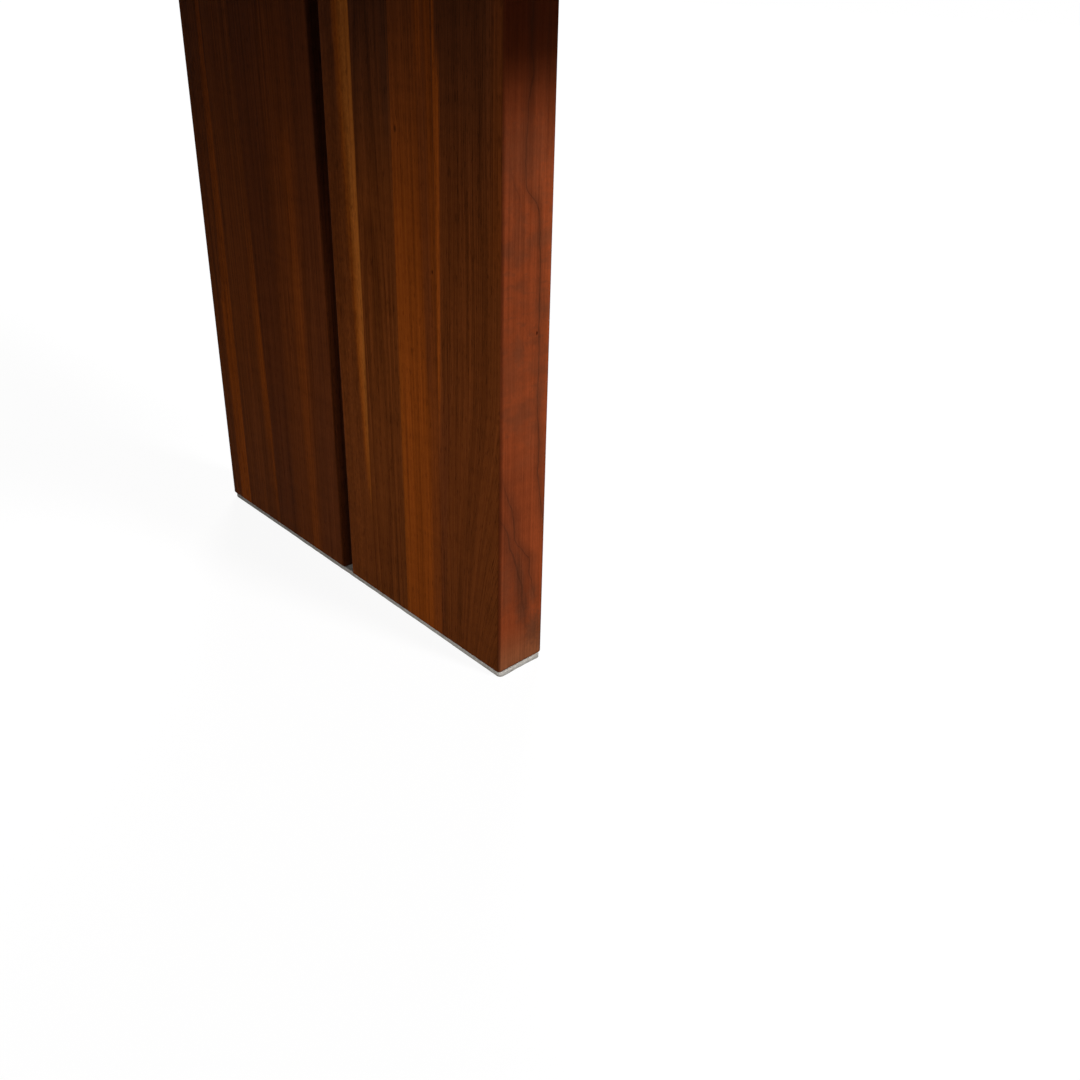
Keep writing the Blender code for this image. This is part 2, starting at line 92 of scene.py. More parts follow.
class Signal:
    """A node's output. Arithmetic on it adds the nodes that work the sum out."""

    def __init__(self, tree: "NodeTree", socket: bpy.types.NodeSocket) -> None:
        """Wraps an output socket of a tree."""
        self.tree = tree
        self.socket = socket

    def sum_of(self, operation: str, *values: Any) -> "Signal":
        """Adds one Math node, with signals or numbers for its values."""
        return self.tree.node("ShaderNodeMath", {"operation": operation}, dict(enumerate(values)))

    __add__ = operator("ADD")
    __radd__ = operator("ADD", reflected=True)
    __sub__ = operator("SUBTRACT")
    __rsub__ = operator("SUBTRACT", reflected=True)
    __mul__ = operator("MULTIPLY")
    __rmul__ = operator("MULTIPLY", reflected=True)
    __truediv__ = operator("DIVIDE")
    __rtruediv__ = operator("DIVIDE", reflected=True)
    __pow__ = operator("POWER")
    __mod__ = operator("FLOORED_MODULO")

    def __abs__(self) -> "Signal":
        """The size of self without its sign."""
        return self.sum_of("ABSOLUTE", self)

    def above(self, other: Any) -> "Signal":
        """1 where self is above other, and 0 elsewhere."""
        return self.sum_of("GREATER_THAN", self, other)

    def most(self, other: Any) -> "Signal":
        """The larger of self and other."""
        return self.sum_of("MAXIMUM", self, other)

    def floor(self) -> "Signal":
        """The whole number at or below self."""
        return self.sum_of("FLOOR", self)

    def fract(self) -> "Signal":
        """What self has above a whole number."""
        return self.sum_of("FRACT", self)

    def sine(self) -> "Signal":
        """The sine of self."""
        return self.sum_of("SINE", self)

    def cosine(self) -> "Signal":
        """The cosine of self."""
        return self.sum_of("COSINE", self)

    def smooth(self, low: Any, high: Any) -> "Signal":
        """Rises smoothly from 0 at low to 1 at high."""
        settings = {"interpolation_type": "SMOOTHSTEP"}
        return self.tree.node("ShaderNodeMapRange", settings, {0: self, 1: low, 2: high})

    def part(self, axis: int) -> "Signal":
        """One coordinate of a vector."""
        return self.tree.node("ShaderNodeSeparateXYZ", inputs={0: self}, output=axis)


class NodeTree:
    """A node tree that is filled by code."""

    def __init__(self, tree: bpy.types.NodeTree) -> None:
        """Wraps a tree."""
        self.tree = tree

    def add(
        self,
        kind: str,
        settings: dict[str, Any] | None = None,
        inputs: dict[Any, Any] | None = None,
    ) -> bpy.types.Node:
        """Adds one node.

        Args:
            kind: the node's type.
            settings: its properties, set before its inputs. The key stops holds a ramp's stops.
            inputs: values or signals by the socket's name or number. A list joins several signals.

        Returns:
            The node.
        """
        made = self.tree.nodes.new(kind)
        for name, value in (settings or {}).items():
            if name == "stops":
                self._set_stops(made.color_ramp, value)
            else:
                setattr(made, name, value)
        for key, value in (inputs or {}).items():
            for item in value if isinstance(value, list) else [value]:
                if isinstance(item, Signal):
                    self.tree.links.new(item.socket, made.inputs[key])
                else:
                    made.inputs[key].default_value = item
        return made

    def node(
        self,
        kind: str,
        settings: dict[str, Any] | None = None,
        inputs: dict[Any, Any] | None = None,
        output: Any = 0,
    ) -> Signal:
        """Adds one node and gives the output of that name or number."""
        return Signal(self, self.add(kind, settings, inputs).outputs[output])

    @staticmethod
    def _set_stops(ramp: bpy.types.ColorRamp, stops: Sequence[tuple[float, Colour]]) -> None:
        """Gives a ramp its stops and a smooth course through them.

        Args:
            ramp: a new ramp.
            stops: places and colours, in order.
        """
        ramp.interpolation = "CARDINAL"
        while len(ramp.elements) < len(stops):
            ramp.elements.new(1.0)
        for element, (place, colour) in zip(ramp.elements, stops):
            element.position = place
            element.color = (*colour, 1.0)

    def vector(self, x: Any, y: Any, z: Any) -> Signal:
        """A vector from three numbers or signals."""
        return self.node("ShaderNodeCombineXYZ", inputs={0: x, 1: y, 2: z})

    def vector_sum(self, operation: str, first: Any, second: Any) -> Signal:
        """One Vector Math node whose result is a vector."""
        return self.node("ShaderNodeVectorMath", {"operation": operation}, {0: first, 1: second})

    def length(self, vector: Signal) -> Signal:
        """How long a vector is."""
        return self.node("ShaderNodeVectorMath", {"operation": "LENGTH"}, {0: vector}, "Value")


class Layers(Enum):
    """The finer layers of noise: how many there are, and how strong they are."""

    PLAIN = (1.0, 0.50)
    SOFT = (2.0, 0.50)
    CRISP = (2.0, 0.60)
    SMOKY = (3.0, 0.55)
    FIBROUS = (3.0, 0.60)
    DUSTY = (4.0, 0.60)
    MATTED = (4.0, 0.70)


class FinishTree(NodeTree):
    """The node tree of one material."""

    def __init__(self, name: str) -> None:
        """Makes a material with one Principled shader.

        Args:
            name: the material's name.
        """
        self.material = bpy.data.materials.new(name)
        self.material.use_nodes = True
        super().__init__(self.material.node_tree)
        self.shader = self.tree.nodes["Principled BSDF"]
        self.output = self.tree.nodes["Material Output"]
        self.place = self.node("ShaderNodeTexCoord", output="Object")
        self.facing = self.node("ShaderNodeTexCoord", output="Normal")

    def mix(self, factor: Any, first: Any, second: Any) -> Signal:
        """Mixes two colours.

        Args:
            factor: how much of the second there is.
            first: a colour or a signal.
            second: a colour or a signal.

        Returns:
            The mixed colour.
        """
        settings = {"data_type": "RGBA", "clamp_factor": True}
        inputs = {0: factor, 6: self._opaque(first), 7: self._opaque(second)}
        return self.node("ShaderNodeMix", settings, inputs, 2)

    @staticmethod
    def _opaque(colour: Any) -> Any:
        """A colour with its alpha, or a signal as it is."""
        return colour if isinstance(colour, Signal) else (*colour, 1.0)

    def mix_vector(self, factor: Any, first: Any, second: Any) -> Signal:
        """Mixes two vectors."""
        inputs = {0: factor, 4: first, 5: second}
        return self.node("ShaderNodeMix", {"data_type": "VECTOR"}, inputs, 1)

    def scaled(self, colour: Any, amount: Any) -> Signal:
        """A colour made lighter or darker."""
        return self.node("ShaderNodeVectorMath", {"operation": "SCALE"}, {0: colour, 3: amount})

    def noise(self, place: Any, scale: float = 1.0, layers: Layers = Layers.SOFT) -> Signal:
        """Cloudy noise between 0 and 1.

        Args:
            place: where it is read.
            scale: lumps in a unit of place.
            layers: its finer layers.

        Returns:
            The noise.
        """
        detail, rough = layers.value
        inputs = {"Vector": place, "Scale": scale, "Detail": detail, "Roughness": rough}
        return self.node("ShaderNodeTexNoise", {"noise_dimensions": "3D"}, inputs)

    def noise_at(self, x: Any, y: Any, z: Any, layers: Layers = Layers.SOFT) -> Signal:
        """Noise at a place that is given by its parts."""
        return self.noise(self.vector(x, y, z), layers=layers)

    def on_edge(self) -> Signal:
        """How far round an edge the mesh says that it is, from 0 to 1."""
        return self.node("ShaderNodeAttribute", {"attribute_name": "edge"}, output="Fac")

    def bump(self, height: Signal, distance: float, strength: float) -> Signal:
        """The normal that a height between 0 and 1 gives, where 1 stands that distance high."""
        inputs = {"Strength": strength, "Distance": distance, "Height": height}
        return self.node("ShaderNodeBump", inputs=inputs)

    def surface(self, **values: Any) -> bpy.types.Material:
        """Sets the shader's sockets.

        Args:
            values: a value or signal for each socket, named with _ in place of a space.

        Returns:
            The finished material.
        """
        for name, value in values.items():
            socket = self.shader.inputs[name.replace("_", " ")]
            if isinstance(value, Signal):
                self.tree.links.new(value.socket, socket)
            elif name == "Base_Color":
                socket.default_value = (*value, 1.0)
            else:
                socket.default_value = value
        return self.material


class ShapeTree(NodeTree):
    """A Geometry Nodes tree with named inputs, which is baked to a plain mesh."""

    KINDS = {
        float: "NodeSocketFloat",
        int: "NodeSocketInt",
        bpy.types.Object: "NodeSocketObject",
        bpy.types.Material: "NodeSocketMaterial",
    }

    def __init__(self, name: str, inputs: dict[str, type]) -> None:
        """Makes an empty tree.

        Args:
            name: the tree's name.
            inputs: the kind of each named input.
        """
        tree = bpy.data.node_groups.new(name, "GeometryNodeTree")
        super().__init__(tree)
        tree.is_modifier = True
        tree.interface.new_socket("Geometry", in_out="INPUT", socket_type="NodeSocketGeometry")
        tree.interface.new_socket("Geometry", in_out="OUTPUT", socket_type="NodeSocketGeometry")
        self.keys: dict[str, str] = {}
        for label, kind in {**inputs, "Finish": bpy.types.Material}.items():
            made = tree.interface.new_socket(label, in_out="INPUT", socket_type=self.KINDS[kind])
            self.keys[label] = made.identifier
        self.group = self.add("NodeGroupInput")
        self.geometry = self.value("Geometry")

    def value(self, label: str) -> Signal:
        """The signal of a named input."""
        return Signal(self, self.group.outputs[label])

    def attribute(self, name: str, kind: str = "FLOAT") -> Signal:
        """A named attribute of the geometry in hand."""
        return self.node("GeometryNodeInputNamedAttribute", {"data_type": kind}, {"Name": name})

    def sample(self, source: Signal, value: Signal, index: Signal, kind: str = "FLOAT") -> Signal:
        """A value of one point of another geometry.

        Args:
            source: the geometry that is read.
            value: what is read of it.
            index: the point's number.
            kind: the kind of value.

        Returns:
            The value.
        """
        settings = {"data_type": kind, "domain": "POINT"}
        inputs = {"Geometry": source, "Value": value, "Index": index}
        return self.node("GeometryNodeSampleIndex", settings, inputs)

    def moved(self, geometry: Signal, position: Signal) -> Signal:
        """A geometry with its points set."""
        inputs = {"Geometry": geometry, "Position": position}
        return self.node("GeometryNodeSetPosition", inputs=inputs)

    def stored(self, geometry: Signal, name: str, value: Signal) -> Signal:
        """A geometry with a number kept at each point."""
        settings = {"data_type": "FLOAT", "domain": "POINT"}
        inputs = {"Geometry": geometry, "Name": name, "Value": value}
        return self.node("GeometryNodeStoreNamedAttribute", settings, inputs)

    def smoothed(self, geometry: Signal, crease: float) -> Signal:
        """A geometry shaded smooth, apart from edges that turn more than a crease.

        Args:
            geometry: the geometry.
            crease: the angle of the sharpest smooth edge.

        Returns:
            The geometry.
        """
        angle = self.node("GeometryNodeInputMeshEdgeAngle", output="Unsigned Angle")
        inputs = {"Geometry": geometry, "Shade Smooth": True}
        faces = self.node("GeometryNodeSetShadeSmooth", {"domain": "FACE"}, inputs)
        inputs = {"Geometry": faces, "Selection": angle.above(crease), "Shade Smooth": False}
        return self.node("GeometryNodeSetShadeSmooth", {"domain": "EDGE"}, inputs)

    def close(self, geometry: Signal) -> None:
        """Ends the tree: instances made real, and the finish set."""
        real = self.node("GeometryNodeRealizeInstances", inputs={"Geometry": geometry})
        inputs = {"Geometry": real, "Material": self.value("Finish")}
        dressed = self.node("GeometryNodeSetMaterial", inputs=inputs)
        self.add("NodeGroupOutput", inputs={"Geometry": dressed})

    def bake(self, name: str, mesh: bpy.types.Mesh, values: dict[str, Any]) -> bpy.types.Object:
        """Runs the tree and keeps its result as a plain mesh.

        Args:
            name: the new object's name.
            mesh: the geometry that goes in.
            values: the value of each named input.

        Returns:
            An object at the origin with that mesh.
        """
        made = new_object(name, mesh)
        modifier = made.modifiers.new(name, "NODES")
        modifier.node_group = self.tree
        for label, value in values.items():
            modifier[self.keys[label]] = value
        ready = made.evaluated_get(bpy.context.evaluated_depsgraph_get())
        baked = bpy.data.meshes.new_from_object(ready)
        made.modifiers.remove(modifier)
        made.data = baked
        baked.name = name
        face_outwards(baked)
        flatten_straight_faces(baked)
        return made


# Meshes


def new_object(name: str, mesh: bpy.types.Mesh | None) -> bpy.types.Object:
    """Adds an object at the origin.

    Args:
        name: its name.
        mesh: its mesh.

    Returns:
        The object.
    """
    made = bpy.data.objects.new(name, mesh)
    bpy.context.scene.collection.objects.link(made)
    return made


def face_outwards(mesh: bpy.types.Mesh) -> None:
    """Turns a closed mesh the right way round if its faces point inwards."""
    bm = bmesh.new()
    bm.from_mesh(mesh)
    if bm.calc_volume(signed=True) < 0:
        bmesh.ops.reverse_faces(bm, faces=bm.faces)
        bm.to_mesh(mesh)
    bm.free()


def flatten_straight_faces(mesh: bpy.types.Mesh) -> None:
    """Shades flat each face that looks along an axis, so that no rounded edge bends its light."""
    for face in mesh.polygons:
        if max(abs(part) for part in face.normal) > STRAIGHT:
            face.use_smooth = False


def points_mesh(name: str, points: Iterable[Sequence[float]]) -> bpy.types.Mesh:
    """A mesh of loose points."""
    mesh = bpy.data.meshes.new(name)
    mesh.from_pydata([tuple(point) for point in points], [], [])
    return mesh


def keep_numbers(mesh: bpy.types.Mesh, name: str, values: Sequence[float]) -> None:
    """Keeps a number at each point of a mesh.

    Args:
        mesh: the mesh.
        name: the attribute's name.
        values: a number for each point.
    """
    kept = mesh.attributes.new(name, "FLOAT", "POINT")
    kept.data.foreach_set("value", list(values))


def merged_copy(node: str) -> bmesh.types.BMesh:
    """A copy of a CAD node's mesh with its loose triangles joined.

    Args:
        node: the CAD node.

    Returns:
        The copy.
    """
    bm = bmesh.new()
    bm.from_mesh(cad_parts[node].data)
    bmesh.ops.remove_doubles(bm, verts=bm.verts, dist=WELD)
    return bm


def kept_mesh(name: str, bm: bmesh.types.BMesh) -> bpy.types.Mesh:
    """A new mesh from a BMesh, which is freed.

    Args:
        name: the mesh's name.
        bm: the BMesh.

    Returns:
        The mesh.
    """
    mesh = bpy.data.meshes.new(name)
    bm.to_mesh(mesh)
    bm.free()
    return mesh


def finish_piece(
    piece: bpy.types.Object, nodes: Sequence[str], material: bpy.types.Material
) -> None:
    """Dresses a piece, lets it ride on the table and has it stand for its CAD nodes.

    Args:
        piece: the finished piece.
        nodes: the CAD nodes that it stands for.
        material: its finish.
    """
    piece.data.materials.clear()
    piece.data.materials.append(material)
    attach(piece, BODY)
    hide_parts(*nodes)
    triangles = sum(len(face.vertices) - 2 for face in piece.data.polygons)
    log.info("%s: %d triangles, stands for %d nodes", piece.name, triangles, len(nodes))


def dress_node(node: str, material: bpy.types.Material) -> None:
    """Gives a CAD node that stays its finish.

    Args:
        node: the CAD node.
        material: its finish.
    """
    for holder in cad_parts[node].material_slots:
        holder.material = material
    log.info("%s keeps its solid", node)


class Ring(NamedTuple):
    """One ring of a turned piece. On a hexagon ring, radius is half the distance across flats."""

    radius: float
    z: float
    hexagon: float = 0.0
    thread: float = 0.0


class TurnedTree(ShapeTree):
    """Turns a profile into a solid and sets one at each point, turned at random about Z."""

    def __init__(self) -> None:
        """Builds the tree."""
        kinds = {"Profile": bpy.types.Object, "Sides": int, "Pitch": float, "Thread Depth": float}
        super().__init__("turned_fastener", {**kinds, "Seed": int, "Crease": float})
        info = {"transform_space": "ORIGINAL"}
        profile = self.node("GeometryNodeObjectInfo", info, {0: self.value("Profile")}, "Geometry")
        size = {"component": "MESH"}
        rings = self.node("GeometryNodeAttributeDomainSize", size, {0: profile}, "Point Count")
        sides = self.value("Sides")
        inputs = {"Vertices X": sides + 1, "Vertices Y": rings}
        grid = self.node("GeometryNodeMeshGrid", inputs=inputs)
        index = self.node("GeometryNodeInputIndex")
        ring = index % rings
        side = (index / rings).floor()
        angle = side / sides * (2 * math.pi)
        place = self.node("GeometryNodeInputPosition")
        at = self.sample(profile, place, ring, "FLOAT_VECTOR")
        hexagon = self.sample(profile, self.attribute("hexagon"), ring)
        thread = self.sample(profile, self.attribute("thread"), ring)
        radius = at.part(0)
        height = at.part(2)
        sixth = math.pi / 3
        from_flat = (angle + sixth / 2) % sixth - sixth / 2
        corner = 1 / from_flat.cosine()
        turn = (height / self.value("Pitch") - side / sides).fract()
        valley = abs(turn - 0.5) * 2
        cut = thread * valley * self.value("Thread Depth")
        reach = radius * (1 + hexagon * (corner - 1)) - cut
        turned = self.moved(grid, self.vector(reach * angle.cosine(), reach * angle.sine(), height))
        inputs = {"Geometry": turned, "Distance": WELD}
        closed = self.node("GeometryNodeMergeByDistance", inputs=inputs)
        inputs = {2: 0.0, 3: 2 * math.pi, "Seed": self.value("Seed")}
        spin = self.node("FunctionNodeRandomValue", {"data_type": "FLOAT"}, inputs, 1)
        turn_by = self.node("FunctionNodeEulerToRotation", inputs={0: self.vector(0.0, 0.0, spin)})
        inputs = {"Points": self.geometry, "Instance": closed, "Rotation": turn_by}
        placed = self.node("GeometryNodeInstanceOnPoints", inputs=inputs)
        real = self.node("GeometryNodeRealizeInstances", inputs={"Geometry": placed})
        self.close(self.smoothed(real, self.value("Crease")))


class LoftTree(ShapeTree):
    """Raises a flat section between two heights and rounds its edges at both ends.

    Each point of the section keeps the way that it is drawn in at a rounded end, and how far round
    a corner it is.
    """

    def __init__(self) -> None:
        """Builds the tree."""
        lengths = ("Foot", "Head", "Foot Radius", "Head Radius", "Crease")
        super().__init__("raised_section", {**dict.fromkeys(lengths, float), "Steps": int})
        section = self.geometry
        size = {"component": "MESH"}
        around = self.node("GeometryNodeAttributeDomainSize", size, {0: section}, "Point Count")
        steps = self.value("Steps")
        levels = steps * 2 + 2
        inputs = {"Vertices X": around + 1, "Vertices Y": levels}
        grid = self.node("GeometryNodeMeshGrid", inputs=inputs)
        index = self.node("GeometryNodeInputIndex")
        level = index % levels
        point = (index / levels).floor() % around

        at_head = level.above(steps + 0.5)
        foot_turn = 1 - level / steps
        head_turn = (level - steps - 1) / steps
        turn = (foot_turn + at_head * (head_turn - foot_turn)) * QUARTER
        foot_radius = self.value("Foot Radius")
        radius = foot_radius + at_head * (self.value("Head Radius") - foot_radius)
        drawn_in = radius * (1 - turn.cosine())
        from_end = radius * (1 - turn.sine())
        foot_height = self.value("Foot") + from_end
        height = foot_height + at_head * (self.value("Head") - from_end - foot_height)

        place = self.node("GeometryNodeInputPosition")
        draw = self.attribute("draw", "FLOAT_VECTOR")
        corner = self.attribute("corner")
        start = self.sample(section, place, point, "FLOAT_VECTOR")
        inward = self.sample(section, draw, point, "FLOAT_VECTOR")
        x = start.part(0) + inward.part(0) * drawn_in
        y = start.part(1) + inward.part(1) * drawn_in
        raised = self.moved(grid, self.vector(x, y, height))
        round_level = (turn * 2).sine()
        edge = self.sample(section, corner, point).most(round_level)
        sides = self.stored(raised, "edge", edge)
        caps = [
            self._cap(section, place, draw, "Foot", "Foot Radius"),
            self._cap(section, place, draw, "Head", "Head Radius"),
        ]
        caps[0] = self.node("GeometryNodeFlipFaces", inputs={0: caps[0]})
        joined = self.node("GeometryNodeJoinGeometry", inputs={0: [sides, *caps]})
        inputs = {"Geometry": joined, "Distance": WELD}
        closed = self.node("GeometryNodeMergeByDistance", inputs=inputs)
        self.close(self.smoothed(closed, self.value("Crease")))

    def _cap(self, section: Signal, place: Signal, draw: Signal, end: str, radius: str) -> Signal:
        """The flat face at one end.

        Args:
            section: the flat section.
            place: the position of its points.
            draw: the way that each is drawn in.
            end: the input that has the end's height.
            radius: the input that has the end's radius.

        Returns:
            The face.
        """
        reach = self.value(radius)
        x = place.part(0) + draw.part(0) * reach
        y = place.part(1) + draw.part(1) * reach
        return self.moved(section, self.vector(x, y, self.value(end)))


@dataclass
class Section:
    """A closed outline in the XY plane that knows which way each point is drawn in."""

    points: list[Point2] = field(default_factory=list)
    draws: list[Point2] = field(default_factory=list)
    corners: list[float] = field(default_factory=list)

    def add(self, point: Point2, draw: Point2, corner: float = 0.0) -> None:
        """Adds one point.

        Args:
            point: where it is.
            draw: the way that it is drawn in at a rounded end.
            corner: how far round a corner it is, from 0 to 1.
        """
        self.points.append(point)
        self.draws.append(draw)
        self.corners.append(corner)

    def add_corner(self, centre: Point2, radius: float, quarter: int, steps: int) -> None:
        """Adds a round corner.

        Args:
            centre: the middle of its arc.
            radius: its radius.
            quarter: which quarter of a turn it starts at.
            steps: how many pieces its arc has.
        """
        for step in range(steps + 1):
            turn = step / steps * QUARTER
            angle = quarter * QUARTER + turn
            way = (math.cos(angle), math.sin(angle))
            point = (centre[0] + radius * way[0], centre[1] + radius * way[1])
            self.add(point, (-way[0], -way[1]), math.sin(2 * turn))

    def mesh(self, name: str) -> bpy.types.Mesh:
        """The outline as one face with its attributes."""
        mesh = bpy.data.meshes.new(name)
        places = [(x, y, 0.0) for x, y in self.points]
        mesh.from_pydata(places, [], [tuple(range(len(places)))])
        draw = mesh.attributes.new("draw", "FLOAT_VECTOR", "POINT")
        draw.data.foreach_set("vector", [part for x, y in self.draws for part in (x, y, 0.0)])
        keep_numbers(mesh, "corner", self.corners)
        return mesh


# Walnut


class Grain(Enum):
    """Which coordinates run along the fibres, across the staves and into the face."""

    UPRIGHT = (2, 1, 0)
    LENGTHWISE = (0, 1, 2)


class Tone(Enum):
    """Colours that walnut staves have."""

    SMOKED = (0.162, 0.0395, 0.0104)
    UMBER = (0.216, 0.0525, 0.0112)
    NUTMEG = (0.202, 0.0475, 0.0100)
    RUSSET = (0.184, 0.0450, 0.0116)
    EMBER = (0.415, 0.0890, 0.0102)
    TAN = (0.214, 0.0530, 0.0104)
    BRONZE = (0.196, 0.0480, 0.0098)
    AMBER = (0.342, 0.0735, 0.0083)
    COPPER = (0.284, 0.0612, 0.0076)
    HONEY = (0.400, 0.0930, 0.0105)
    STRAW = (0.600, 0.1720, 0.0260)
    CHESTNUT = (0.276, 0.0545, 0.0158)
    SEPIA = (0.224, 0.0555, 0.0106)
    FAWN = (0.268, 0.0880, 0.0350)
    HAZE = (0.124, 0.0440, 0.0205)
    DUSK = (0.095, 0.0275, 0.0120)
    PLUM = (0.105, 0.0345, 0.0155)
    # Painted shade on the walls of the gap between the boards of a cheek.
    SOOT = (0.070, 0.0220, 0.0090)
    # Painted shade on rounded edges.
    GARNET = (0.090, 0.0165, 0.0040)


class Cut(Enum):
    """How a stave was sawn: where the heart lies from its middle, across and into the face."""

    FLAT = (0.004, 0.052)
    RIFT = (0.075, 0.060)
    RIFT_BACK = (-0.080, 0.055)
    QUARTER = (0.190, 0.012)
    QUARTER_BACK = (-0.210, 0.016)


@dataclass(frozen=True)
class Stave:
    """One stave, from its starting edge to the next stave's. Edges are shares of the face."""

    foot: float
    head: float
    tone: Tone
    cut: Cut
    figure: float = 0.5
    soft: float = 0.0006
    middle: float = 0.0
    seed: float = 0.0
    spacing: float = 0.0036
    lines: float = 0.30


@dataclass(frozen=True)
class Streak:
    """A band of other colour along the grain. Its two edges are given at foot and head."""

    tone: Tone
    left: Point2
    right: Point2
    left_soft: float = 0.006
    right_soft: float = 0.001
    low: float = -0.10
    high: float = 1.40
    fade: float = 0.08
    bend: float = 1.0
    bend_from: float = 0.0
    wander: float = 0.004
    strength: float = 1.0


@dataclass(frozen=True)
class Knot:
    """A pin knot: a dark dot that the grain flows round."""

    place: Colour
    radius: float = 0.0016
    strength: float = 0.8


@dataclass(frozen=True)
class Vein:
    """A dark line that wanders up a board's narrow face.

    Its path gives heights and how deep it lies there, as a share of the board's thickness.
    """

    path: tuple[Point2, ...]
    width: float = 0.0020
    strength: float = 0.82
    halo: float = 0.52
    halo_width: float = 0.0105
    fade: float = 0.025


@dataclass(frozen=True)
class Smoke:
    """A smoky patch on a board's narrow face, where its grain is disturbed."""

    height: float
    depth: float
    half_height: float
    half_depth: float
    strength: float


@dataclass(frozen=True)
class Fan:
    """Where the grain leans over towards the foot of a board."""

    start: float
    end: float
    height: float
    reach: float
    power: float = 1.8


@dataclass(frozen=True)
class StaveLayout:
    """How the staves of one face lie.

    The share across starts at the face's rear edge. The height that the foot and head of a stave's
    edge are given at is a share of the reach.
    """

    staves: tuple[Stave, ...]
    rear: float
    width: float
    face: float
    reach: float
    grain: Grain = Grain.UPRIGHT
    streaks: tuple[Streak, ...] = ()
    knots: tuple[Knot, ...] = ()
    veins: tuple[Vein, ...] = ()
    smokes: tuple[Smoke, ...] = ()
    fan: Fan | None = None
    thickness: float = 0.0
    narrow_tone: Tone | None = None
    foot_tone: Tone | None = None
    # Where the painted shade on the gap's walls starts across the face, and how much wider it grows
    # towards the top.
    gap_painted_shade_edge: float = 0.0
    gap_widens: float = 0.0
    # How much of the painted shade under the top this face takes.
    painted_under_top_shade: float = 1.0
    speckled: Point2 | None = None


class Drawn(NamedTuple):
    """Noise that is drawn out along the grain: lumps in a metre across it and along it."""

    across: float
    along: float
    layers: Layers = Layers.SOFT
    seed: float = 0.0

    def over(self, tree: FinishTree, along: Signal, across: Signal, seed: float = 0.0) -> Signal:
        """The noise over a face, from the place along it and across it."""
        x, y, z = along * self.along, across * self.across, self.seed + seed
        return tree.noise_at(x, y, z, self.layers)

    def through(
        self, tree: FinishTree, along: Signal, start: Signal, across: Signal, deep: Signal
    ) -> Signal:
        """The noise all through the wood, with its own start along the grain."""
        x, y, z = across * self.across, deep * self.across, along * self.along + start
        return tree.noise_at(x, y, z, self.layers)


